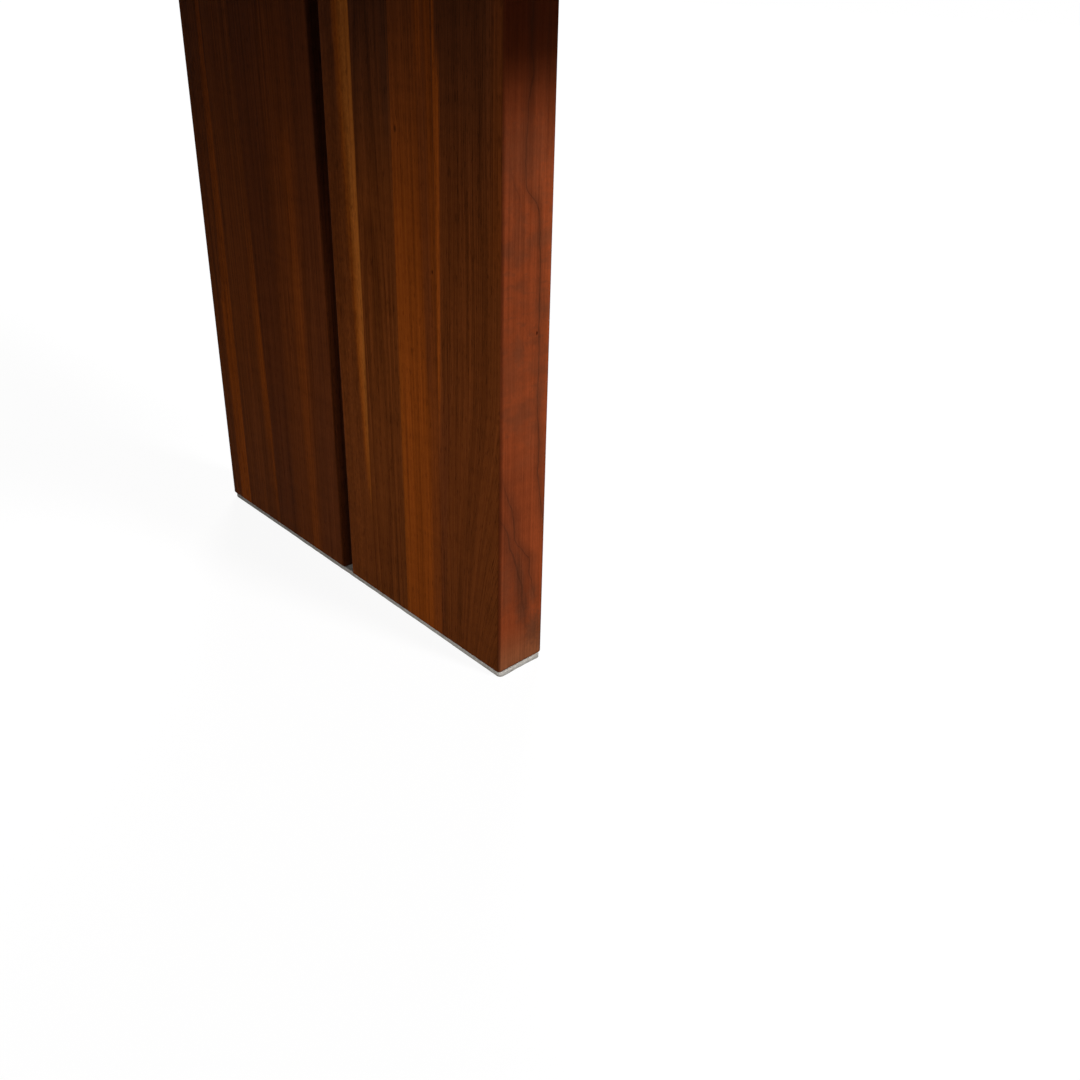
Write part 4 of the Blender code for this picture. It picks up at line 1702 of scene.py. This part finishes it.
class FibreTree(ShapeTree):
    """Adds short loose fibres to the sides of a felt body."""

    LYING = 0.6
    STEPS = 3
    MIDDLE = (0.5, 0.0, 0.35)
    END = (1.0, 0.3, 0.22)
    LENGTHS = (0.4, 1.2)

    def __init__(self) -> None:
        """Builds the tree."""
        kinds = {"Length": float, "Thickness": float, "Density": float, "Lowest": float}
        super().__init__("felt_fibres", {**kinds, "Seed": int})
        normal = self.node("GeometryNodeInputNormal")
        place = self.node("GeometryNodeInputPosition")
        seed = self.value("Seed")
        inputs = {
            "Mesh": self.geometry,
            "Selection": 1 - abs(normal.part(2)).above(self.LYING),
            "Density": self.value("Density"),
            "Seed": seed,
        }
        spread = self.add("GeometryNodeDistributePointsOnFaces", inputs=inputs).outputs
        outward = self.node(
            "FunctionNodeAlignRotationToVector",
            {"axis": "Z"},
            {"Vector": Signal(self, spread["Normal"])},
        )
        inputs = {2: 0.0, 3: 2 * math.pi, "Seed": seed}
        spin = self.node("FunctionNodeRandomValue", {"data_type": "FLOAT"}, inputs, 1)
        inputs = {"Rotation": outward, "Rotate By": self.vector(0.0, 0.0, spin)}
        turned = self.node("FunctionNodeRotateRotation", {"rotation_space": "LOCAL"}, inputs)
        shortest, longest = self.LENGTHS
        inputs = {2: shortest, 3: longest, "Seed": seed + 1}
        scale = self.node("FunctionNodeRandomValue", {"data_type": "FLOAT"}, inputs, 1)
        inputs = {
            "Points": Signal(self, spread["Points"]),
            "Selection": place.part(2).above(self.value("Lowest")),
            "Instance": self._fibre(),
            "Rotation": turned,
            "Scale": scale,
        }
        hairs = self.node("GeometryNodeInstanceOnPoints", inputs=inputs)
        self.close(self.node("GeometryNodeJoinGeometry", inputs={0: [self.geometry, hairs]}))

    def _fibre(self) -> Signal:
        """One bent fibre that stands on its root.

        Returns:
            The fibre.
        """
        length = self.value("Length")
        inputs = {
            "Resolution": self.STEPS,
            "Start": (0.0, 0.0, 0.0),
            "Middle": self.vector(*(length * share for share in self.MIDDLE)),
            "End": self.vector(*(length * share for share in self.END)),
        }
        strand = self.node("GeometryNodeCurveQuadraticBezier", inputs=inputs)
        inputs = {"Resolution": self.STEPS, "Radius": self.value("Thickness")}
        section = self.node("GeometryNodeCurvePrimitiveCircle", inputs=inputs)
        inputs = {"Curve": strand, "Profile Curve": section, "Fill Caps": True}
        return self.node("GeometryNodeCurveToMesh", inputs=inputs)


@dataclass
class Top:
    """The top with its recesses, and the steel that is let into it."""

    edge_radius: float = 0.004
    crease: float = math.radians(36)
    steel_ease: float = 0.0005
    steel_corner: float = math.radians(50)
    steel_steps: int = 2
    flat: float = math.radians(1)

    def build_top(self, material: bpy.types.Material) -> bpy.types.Object:
        """Builds the top.

        Args:
            material: its walnut.

        Returns:
            The top.
        """
        mesh = kept_mesh("table_top_oiled", merged_copy("table_top"))
        low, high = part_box("table_top")
        keep_numbers(mesh, "edge", [self._on_edge(v.co, low, high) for v in mesh.vertices])
        return self._finish(mesh, "table_top", material)

    def _on_edge(self, place: Vector, low: Vector, high: Vector) -> float:
        """1 for a point inside a rounded edge of the top, and 0 elsewhere."""
        depths = [min(place[i] - low[i], high[i] - place[i]) for i in range(3)]
        inside = [WELD < depth < self.edge_radius - WELD for depth in depths]
        return 1.0 if sum(inside) > 1 else 0.0

    def build_steel(self, node: str, material: bpy.types.Material) -> bpy.types.Object:
        """Builds a steel piece with its corners broken.

        Args:
            node: the CAD node.
            material: its coat.

        Returns:
            The piece.
        """
        bm = merged_copy(node)
        bmesh.ops.dissolve_limit(bm, angle_limit=self.flat, verts=bm.verts, edges=bm.edges)
        bmesh.ops.bevel(
            bm,
            geom=[e for e in bm.edges if e.is_manifold and e.calc_face_angle() > self.steel_corner],
            offset=self.steel_ease,
            segments=self.steel_steps,
            profile=0.5,
            affect="EDGES",
            clamp_overlap=True,
        )
        return self._finish(kept_mesh(f"{node}_coated", bm), node, material)

    def _finish(
        self, mesh: bpy.types.Mesh, node: str, material: bpy.types.Material
    ) -> bpy.types.Object:
        """Makes a piece of a mesh, smooth over its rounded edges.

        Args:
            mesh: the mesh, whose name is also the piece's.
            node: the CAD node that it stands for.
            material: its finish.

        Returns:
            The piece.
        """
        mesh.shade_smooth()
        mesh.set_sharp_from_angle(angle=self.crease)
        flatten_straight_faces(mesh)
        piece = new_object(mesh.name, mesh)
        finish_piece(piece, [node], material)
        return piece


@dataclass
class Fastener:
    """A flanged bolt or screw with a key socket, hanging below what it holds."""

    flange_height: float
    head_width: float
    head_height: float
    key_flats: float
    key_depth: float
    shank: float
    pitch: float
    thread_depth: float
    tip_share: float
    tip_length: float
    key_rim: float = 0.0012
    flange_ease: float = 0.0003
    dome_steps: int = 8
    sides: int = 36
    rings_per_turn: int = 4
    thread_run_in: float = 8.0
    crease: float = math.radians(38)

    def rings(self, flange: float, length: float) -> list[Ring]:
        """The profile from the key socket's floor to the tip, with the seat at z 0.

        Args:
            flange: the flange's diameter.
            length: from the seat to the tip.

        Returns:
            The rings.
        """
        key = self.key_flats / 2
        rim = key / math.cos(math.pi / 6) + self.key_rim
        bottom = -self.head_height
        bevel = self.flange_ease
        rings = [
            Ring(0.0, bottom + self.key_depth + key / 2),
            Ring(key, bottom + self.key_depth, 1.0),
            Ring(key, bottom + bevel, 1.0),
            Ring(key + bevel, bottom, 1.0),
        ]
        for step in range(self.dome_steps + 1):
            climb = QUARTER * (1 - step / self.dome_steps)
            z = -self.flange_height - (self.head_height - self.flange_height) * math.sin(climb)
            rings.append(Ring(rim + (self.head_width / 2 - rim) * math.cos(climb), z))
        edge = flange / 2
        rings += [
            Ring(self.head_width / 2 + bevel, -self.flange_height),
            Ring(edge - bevel, -self.flange_height),
            Ring(edge, bevel - self.flange_height),
            Ring(edge, -bevel),
            Ring(edge - bevel, 0.0),
            Ring(self.shank / 2, 0.0),
        ]
        threaded = length - self.tip_length - self.pitch
        count = round(threaded / self.pitch * self.rings_per_turn)
        start = self.pitch
        for i in range(count + 1):
            cut = min(1.0, i / count * self.thread_run_in)
            rings.append(Ring(self.shank / 2, start + threaded * i / count, thread=cut))
        tip = self.shank / 2 * self.tip_share
        rings += [Ring(tip, length), Ring(0.0, length)]
        return rings

    def build(
        self,
        name: str,
        nodes: Sequence[str],
        turned: TurnedTree,
        slot: str,
        material: bpy.types.Material,
    ) -> bpy.types.Object:
        """Builds the fasteners of one group.

        Args:
            name: the group's name.
            nodes: the CAD nodes that they stand for.
            turned: the tree that turns a profile.
            slot: the record's material slot; not used.
            material: their finish.

        Returns:
            All of them as one mesh.
        """
        boxes = [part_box(node) for node in nodes]
        seats = [
            ((low.x + high.x) / 2, (low.y + high.y) / 2, low.z + self.head_height)
            for low, high in boxes
        ]
        low, high = boxes[0]
        rings = self.rings(high.x - low.x, high.z - low.z - self.head_height)
        profile = points_mesh(f"{name}_profile", [(r.radius, 0.0, r.z) for r in rings])
        keep_numbers(profile, "hexagon", [r.hexagon for r in rings])
        keep_numbers(profile, "thread", [r.thread for r in rings])
        holder = new_object(f"{name}_profile", profile)
        values = {
            "Profile": holder,
            "Sides": self.sides,
            "Pitch": self.pitch,
            "Thread Depth": self.thread_depth,
            "Seed": len(name),
            "Crease": self.crease,
            "Finish": material,
        }
        piece = turned.bake(name, points_mesh(f"{name}_seats", seats), values)
        bpy.data.objects.remove(holder)
        finish_piece(piece, nodes, material)
        return piece


# Studio


@dataclass(frozen=True)
class StudioCamera:
    """The camera, placed from the corner where the right cheek's inner face meets its front edge."""

    frame_pixels: float = 1080.0
    focal_pixels: float = 1064.6
    axis_across_pixels: float = 536.2
    axis_down_pixels: float = 477.2
    sensor_mm: float = 36.0
    left: float = 0.5401
    forward: float = 0.6076
    height: float = 0.6109
    yaw: float = math.radians(43.789)
    pitch: float = math.radians(26.148)
    roll: float = math.radians(1.446)
    nearest: float = 0.01
    farthest: float = 100.0

    def place(self) -> bpy.types.Object:
        """Adds the camera and makes it the scene's.

        Returns:
            The camera.
        """
        low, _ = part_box("right_front_board")
        lens = bpy.data.cameras.new("camera")
        lens.sensor_width = self.sensor_mm
        lens.lens = self.focal_pixels / self.frame_pixels * self.sensor_mm
        lens.shift_x = 0.5 - self.axis_across_pixels / self.frame_pixels
        lens.shift_y = self.axis_down_pixels / self.frame_pixels - 0.5
        lens.clip_start = self.nearest
        lens.clip_end = self.farthest
        camera = bpy.data.objects.new("camera", lens)
        bpy.context.scene.collection.objects.link(camera)
        towards = (
            Matrix.Rotation(self.roll, 3, "Z")
            @ Matrix.Rotation(self.pitch + QUARTER, 3, "X")
            @ Matrix.Rotation(self.yaw, 3, "Z")
        )
        turn = towards.transposed() @ Matrix.Diagonal((1.0, -1.0, -1.0))
        place = Vector((low.x - self.left, low.y - self.forward, self.height))
        camera.matrix_world = Matrix.LocRotScale(place, turn, None)
        bpy.context.scene.camera = camera
        return camera


@dataclass(frozen=True)
class Lamp:
    """A soft lamp far away. Its swing is to the right of straight in front."""

    name: str
    level: float
    elevation: float
    swing: float
    angle: float

    def hang(self) -> None:
        """Adds the lamp. At level 1 it shows a white face turned to it as white."""
        lamp = bpy.data.lights.new(self.name, "SUN")
        lamp.energy = self.level * math.pi
        lamp.angle = self.angle
        holder = bpy.data.objects.new(self.name, lamp)
        bpy.context.scene.collection.objects.link(holder)
        flat = math.cos(self.elevation)
        way = Vector(
            (
                math.sin(self.swing) * flat,
                -math.cos(self.swing) * flat,
                math.sin(self.elevation),
            )
        )
        holder.rotation_mode = "QUATERNION"
        holder.rotation_quaternion = way.to_track_quat("Z", "Y")
        holder.location = way


@dataclass(frozen=True)
class Studio:
    """A pale floor, a little light all round, two soft lamps in front and one behind."""

    floor_half: float = 14.0
    floor_seen: Colour = (0.82, 0.82, 0.82)
    floor_bounce: Colour = (0.11, 0.11, 0.11)
    floor_glow_share: float = 0.88
    floor_glow: float = 1.06
    floor_rough: float = 0.9
    floor_level: float = 0.985
    mottle: float = 0.03
    mottle_scale: float = 6.0
    ambient: float = 0.037
    key: Lamp = Lamp("key", 0.80, math.radians(37.1), math.radians(15), math.radians(11))
    fill: Lamp = Lamp("fill", 0.600, math.radians(10), math.radians(-72), math.radians(33))
    back: Lamp = Lamp("back", 0.50, math.radians(42), math.radians(140), math.radians(20))

    def build(self) -> None:
        """Builds the floor, the world and the lamps."""
        self._floor()
        self._world()
        self.key.hang()
        self.fill.hang()
        self.back.hang()
        bpy.context.scene.view_settings.view_transform = "Standard"

    @staticmethod
    def _seen(tree: NodeTree) -> Signal:
        """1 for rays that show the background: to the camera, off gloss and through glass."""
        rays = tree.add("ShaderNodeLightPath").outputs
        names = ("Is Camera Ray", "Is Glossy Ray", "Is Transmission Ray")
        camera, glossy, through = (Signal(tree, rays[name]) for name in names)
        return camera.most(glossy).most(through)

    def _floor(self) -> None:
        """Lays the floor."""
        half = self.floor_half
        mesh = bpy.data.meshes.new("floor")
        corners = [(-half, -half, 0.0), (half, -half, 0.0), (half, half, 0.0), (-half, half, 0.0)]
        mesh.from_pydata(corners, [], [(0, 1, 2, 3)])
        floor = new_object("floor", mesh)
        tree = FinishTree("floor_paper")
        mottle = tree.noise(tree.place, self.mottle_scale)
        seen = self._seen(tree)
        pale = tree.mix(seen, self.floor_bounce, self.floor_seen)
        tree.surface(
            Base_Color=tree.scaled(pale, self.floor_level + mottle * self.mottle),
            Roughness=self.floor_rough,
            Specular_IOR_Level=0.0,
        )
        inputs = {"Color": (1.0, 1.0, 1.0, 1.0), "Strength": self.floor_glow}
        glow = tree.node("ShaderNodeEmission", inputs=inputs)
        diffuse = Signal(tree, tree.shader.outputs[0])
        factor = seen * self.floor_glow_share
        mixed = tree.node("ShaderNodeMixShader", inputs={0: factor, 1: diffuse, 2: glow})
        tree.tree.links.new(mixed.socket, tree.output.inputs["Surface"])
        mesh.materials.append(tree.material)

    def _world(self) -> None:
        """Lights the scene evenly, and shows white behind it."""
        world = bpy.data.worlds.new("studio")
        world.use_nodes = True
        bpy.context.scene.world = world
        tree = NodeTree(world.node_tree)
        background = world.node_tree.nodes["Background"]
        background.inputs["Color"].default_value = (1.0, 1.0, 1.0, 1.0)
        strength = self.ambient + self._seen(tree) * (1 - self.ambient)
        world.node_tree.links.new(strength.socket, background.inputs["Strength"])


# The table


CHEEK_REACH = 0.60
CHANNELS = ("channel_1", "channel_2", "channel_3")

REAR_STAVES = (
    Stave(0.0, 0.0, Tone.UMBER, Cut.QUARTER, 0.5, middle=0.04, seed=1.0),
    Stave(0.087, 0.087, Tone.UMBER, Cut.RIFT, 0.35, middle=0.15, seed=2.0),
    Stave(0.225, 0.200, Tone.SMOKED, Cut.RIFT_BACK, 0.35, middle=0.34, seed=3.0),
    Stave(0.300, 0.300, Tone.NUTMEG, Cut.RIFT_BACK, 0.35, 0.016, middle=0.34, seed=3.0),
    Stave(0.410, 0.410, Tone.RUSSET, Cut.RIFT_BACK, 0.35, 0.016, middle=0.34, seed=3.0),
)
REAR_STREAKS = (
    Streak(Tone.EMBER, (0.041, 0.058), (0.087, 0.087), 0.004, high=0.46, fade=0.05),
    Streak(Tone.EMBER, (0.040, 0.074), (0.089, 0.089), 0.005, low=0.39, strength=0.82, fade=0.04),
    Streak(Tone.EMBER, (0.200, 0.178), (0.225, 0.200), 0.012, high=0.72, fade=0.45, strength=0.9),
    Streak(Tone.NUTMEG, (0.135, 0.125), (0.165, 0.150), 0.012, 0.012, low=0.2, strength=0.5),
    Streak(Tone.EMBER, (0.365, 0.350), (0.392, 0.392), 0.010, 0.008, high=0.8, strength=0.35),
)
FRONT_STAVES = (
    Stave(0.515, 0.515, Tone.TAN, Cut.FLAT, 0.20, middle=0.56, seed=4.0, lines=0.12),
    Stave(0.6035, 0.609, Tone.SEPIA, Cut.FLAT, 0.75, middle=0.66, seed=5.0, spacing=0.0026),
    Stave(0.718, 0.718, Tone.AMBER, Cut.RIFT, 0.34, middle=0.76, seed=6.0, lines=0.15),
    Stave(0.830, 0.830, Tone.BRONZE, Cut.QUARTER, 0.75, 0.006, 0.92, 7.0, spacing=0.0021),
)
HEART_STREAKS = (
    Streak(
        Tone.HONEY, (0.607, 0.559), (0.6065, 0.610), 0.009, low=0.15,
        bend=0.60, bend_from=0.16, wander=0.002,
    ),
    Streak(
        Tone.STRAW, (0.612, 0.575), (0.6065, 0.610), 0.010, low=0.12, fade=0.24,
        bend=0.80, bend_from=0.10, wander=0.002,
    ),
    Streak(
        Tone.STRAW, (0.6005, 0.606), (0.603, 0.609), 0.002, low=0.10, high=0.50, fade=0.14,
        strength=0.5,
    ),
    Streak(Tone.PLUM, (0.607, 0.609), (0.718, 0.718), 0.001, low=0.70, fade=0.30, strength=0.4),
    Streak(Tone.PLUM, (0.700, 0.694), (0.712, 0.712), 0.005, low=0.74, fade=0.12, strength=0.5),
)
AMBER_STREAKS = (
    Streak(Tone.HONEY, (0.718, 0.718), (0.729, 0.721), 0.001, 0.006, high=0.6, fade=0.2, strength=0.5),
    Streak(Tone.COPPER, (0.795, 0.785), (0.832, 0.828), 0.008, low=0.34, fade=0.16, strength=0.9),
    Streak(
        Tone.RUSSET, (0.812, 0.786), (0.826, 0.800), 0.005, 0.006, low=0.40, high=0.92,
        wander=0.003, strength=0.60,
    ),
    Streak(
        Tone.RUSSET, (0.818, 0.802), (0.828, 0.812), 0.004, 0.005, low=0.50,
        wander=0.003, strength=0.62,
    ),
    Streak(
        Tone.RUSSET, (0.806, 0.808), (0.831, 0.831), 0.009, 0.003, high=0.66, fade=0.16,
        wander=0.003, strength=0.50,
    ),
)
BRONZE_STREAKS = (
    Streak(
        Tone.EMBER, (0.8312, 0.8322), (0.827, 0.851), 0.0012, 0.004, low=0.31, high=0.93,
        wander=0.0008,
    ),
    Streak(Tone.EMBER, (0.8312, 0.8322), (0.838, 0.838), 0.0012, 0.003, low=0.80, wander=0.0004),
    Streak(
        Tone.RUSSET, (0.832, 0.832), (0.838, 0.905), 0.004, 0.005, high=0.50, fade=0.15,
        strength=0.7,
    ),
    Streak(Tone.COPPER, (0.97, 0.975), (1.1, 1.1), 0.012, low=0.60, strength=0.35),
)
MAIN_VEIN = (
    (0.140, 0.99), (0.165, 0.90), (0.195, 0.84), (0.235, 0.80), (0.300, 0.76), (0.390, 0.74),
    (0.424, 0.69), (0.438, 0.62), (0.449, 0.46), (0.470, 0.44), (0.506, 0.47), (0.536, 0.51),
    (0.600, 0.50),
)
UPPER_SLANT = (
    (0.070, 0.82), (0.100, 0.69), (0.118, 0.64), (0.133, 0.44), (0.143, 0.34), (0.160, 0.31),
    (0.178, 0.25), (0.205, 0.07),
)
LOWER_SLANT = (
    (0.050, 0.60), (0.075, 0.51), (0.098, 0.46), (0.115, 0.37), (0.133, 0.26), (0.152, 0.17),
    (0.172, 0.00),
)
VEINS = (
    Vein(MAIN_VEIN),
    Vein(((0.485, 0.86), (0.520, 0.80), (0.600, 0.78)), strength=0.40),
    Vein(((0.415, 0.37), (0.440, 0.34), (0.450, 0.24), (0.470, 0.10)), strength=0.45),
    Vein(UPPER_SLANT, strength=0.80, halo=0.60, halo_width=0.013),
    Vein(LOWER_SLANT, width=0.0034, strength=0.86, halo=0.66, halo_width=0.017),
)
SMOKES = (
    Smoke(0.038, 0.80, 0.026, 0.28, 0.72),
    Smoke(0.064, 0.52, 0.022, 0.20, 0.56),
    Smoke(0.024, 1.00, 0.018, 0.22, 0.60),
    Smoke(0.476, 0.40, 0.040, 0.90, 0.40),
    Smoke(0.300, 0.20, 0.036, 0.46, 0.32),
    Smoke(0.078, 0.74, 0.014, 0.16, 0.45),
    Smoke(0.415, 0.30, 0.034, 0.22, 0.34),
    Smoke(0.318, 0.34, 0.020, 0.20, 0.52),
    Smoke(0.275, 0.80, 0.024, 0.16, 0.45),
    Smoke(0.445, 0.66, 0.020, 0.16, 0.36),
    Smoke(0.100, 0.44, 0.040, 0.16, 0.45),
    Smoke(0.098, 0.14, 0.044, 0.20, 0.42),
)
FACE_KNOTS = (((0.729, 0.480), 0.0018, 0.55), ((0.822, 0.370), 0.0011, 0.7))
NARROW_KNOT = ((0.71, 0.331), 0.0011)

BLACK_OXIDE = PlatedMetal(
    "black_oxide", colour=(0.060, 0.058, 0.056), clouded=(0.028, 0.027, 0.027), roughness=0.38
)
BRIGHT_ZINC = PlatedMetal(
    "bright_zinc", colour=(0.60, 0.61, 0.62), clouded=(0.44, 0.45, 0.45), roughness=0.34
)
PLAIN_BRASS = PlatedMetal(
    "plain_brass", colour=(0.66, 0.47, 0.19), clouded=(0.45, 0.31, 0.12), roughness=0.34
)
TOP_BOLT = Fastener(
    flange_height=0.0015,
    head_width=0.014,
    head_height=0.005,
    key_flats=0.005,
    key_depth=0.003,
    shank=0.008,
    pitch=0.00125,
    thread_depth=0.0006,
    tip_share=0.8,
    tip_length=0.001,
)
CHANNEL_SCREW = Fastener(
    flange_height=0.0012,
    head_width=0.011,
    head_height=0.0038,
    key_flats=0.004,
    key_depth=0.0022,
    shank=0.006,
    pitch=0.0024,
    thread_depth=0.0008,
    tip_share=0.25,
    tip_length=0.005,
)


def photographed_cheek() -> dict[str, StaveLayout]:
    """The staves of the right cheek, whose inner face the photograph shows.

    Returns:
        The layouts of its front and rear boards.
    """
    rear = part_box("right_rear_board")[1].y
    low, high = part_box("right_front_board")
    width = rear - low.y
    thickness = high.x - low.x
    knots = [
        Knot((low.x, rear - share * width, height), radius, strength)
        for (share, height), radius, strength in FACE_KNOTS
    ]
    (share, height), radius = NARROW_KNOT
    knots.append(Knot((low.x + share * thickness, low.y, height), radius))
    common = {
        "rear": rear,
        "width": width,
        "face": low.x,
        "reach": CHEEK_REACH,
        "gap_painted_shade_edge": -high.y,
    }
    return {
        "rear": StaveLayout(
            # The rear board takes less of the painted shade under the top, and its painted shade at
            # the gap widens towards the top.
            REAR_STAVES, streaks=REAR_STREAKS, gap_widens=0.0050, painted_under_top_shade=0.3, **common
        ),
        "front": StaveLayout(
            FRONT_STAVES,
            streaks=HEART_STREAKS + AMBER_STREAKS + BRONZE_STREAKS,
            knots=tuple(knots),
            veins=VEINS,
            smokes=SMOKES,
            fan=Fan(start=0.84, end=1.0, height=0.30, reach=0.080),
            speckled=(0.515, 0.603),
            thickness=thickness,
            narrow_tone=Tone.CHESTNUT,
            foot_tone=Tone.FAWN,
            **common,
        ),
    }


def other_cheek(first_seed: int = 21, staves: int = 4) -> dict[str, StaveLayout]:
    """The staves of the left cheek.

    Args:
        first_seed: fixes the choice for the front board. The rear board has the next seed.
        staves: how many each board has.

    Returns:
        The layouts of its front and rear boards.
    """
    layouts = {}
    for seed, end in enumerate(ENDS, first_seed):
        low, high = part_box(f"left_{end}_board")
        width = high.y - low.y
        face = UnseenFace(seed, staves, high.y, width, high.x, CHEEK_REACH, Grain.UPRIGHT)
        layouts[end] = face.layout()
    return layouts


def build_cheeks() -> None:
    """Builds both cheeks."""
    walnut = Walnut()
    loft = LoftTree()
    fibres = FibreTree()
    spline = StainedSpline().make()
    felt = WoolFelt().make()
    layouts = {"right": photographed_cheek(), "left": other_cheek()}
    for side in SIDES:
        cheek = Cheek(side)
        for end in ENDS:
            material = walnut.make(f"{side}_{end}_walnut", layouts[side][end])
            cheek.build_board(end, loft, material)
        cheek.build_felt(loft, fibres, felt)
        dress_node(f"{side}_spline", spline)


def build_top(seed: int = 5, staves: int = 11) -> None:
    """Builds the top with its plates, channels and fasteners.

    Args:
        seed: fixes the choice of its staves.
        staves: how many there are.
    """
    low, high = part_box("table_top")
    width = high.y - low.y
    face = UnseenFace(seed, staves, high.y, width, high.z, high.x - low.x, Grain.LENGTHWISE)
    top = Top()
    # Painted shade: the top's walnut is made darker all over, to offset the stronger light on its
    # upper face.
    walnut = replace(Walnut(), specular=0.012, roughness=0.60, level=0.84)
    top.build_top(walnut.make("table_top_walnut", face.layout()))
    coat = PowderCoat().make()
    nodes = sorted(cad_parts)
    for node in nodes:
        if node.endswith("head_plate") or node in CHANNELS:
            top.build_steel(node, coat)

    oxide = BLACK_OXIDE.make()
    zinc = BRIGHT_ZINC.make()
    brass = PLAIN_BRASS.make()
    turned = TurnedTree()
    kinds = [(TOP_BOLT, f"{side}_top_bolt") for side in SIDES]
    kinds += [(CHANNEL_SCREW, f"{channel}_screw") for channel in CHANNELS]
    for fastener, name in kinds:
        group = [node for node in nodes if node.startswith(f"{name}_")]
        fastener.build(f"{name}s_turned", group, turned, "black_bolt", oxide)
    for node in nodes:
        if "insert" in node:
            dress_node(node, brass)
        elif "cheek_bolt" in node:
            dress_node(node, zinc)


def main() -> None:
    """Builds the studio and the table in order."""
    logging.basicConfig(level=logging.INFO, format="%(message)s")
    StudioCamera().place()
    Studio().build()
    build_cheeks()
    build_top()


if __name__ == "__main__":
    main()
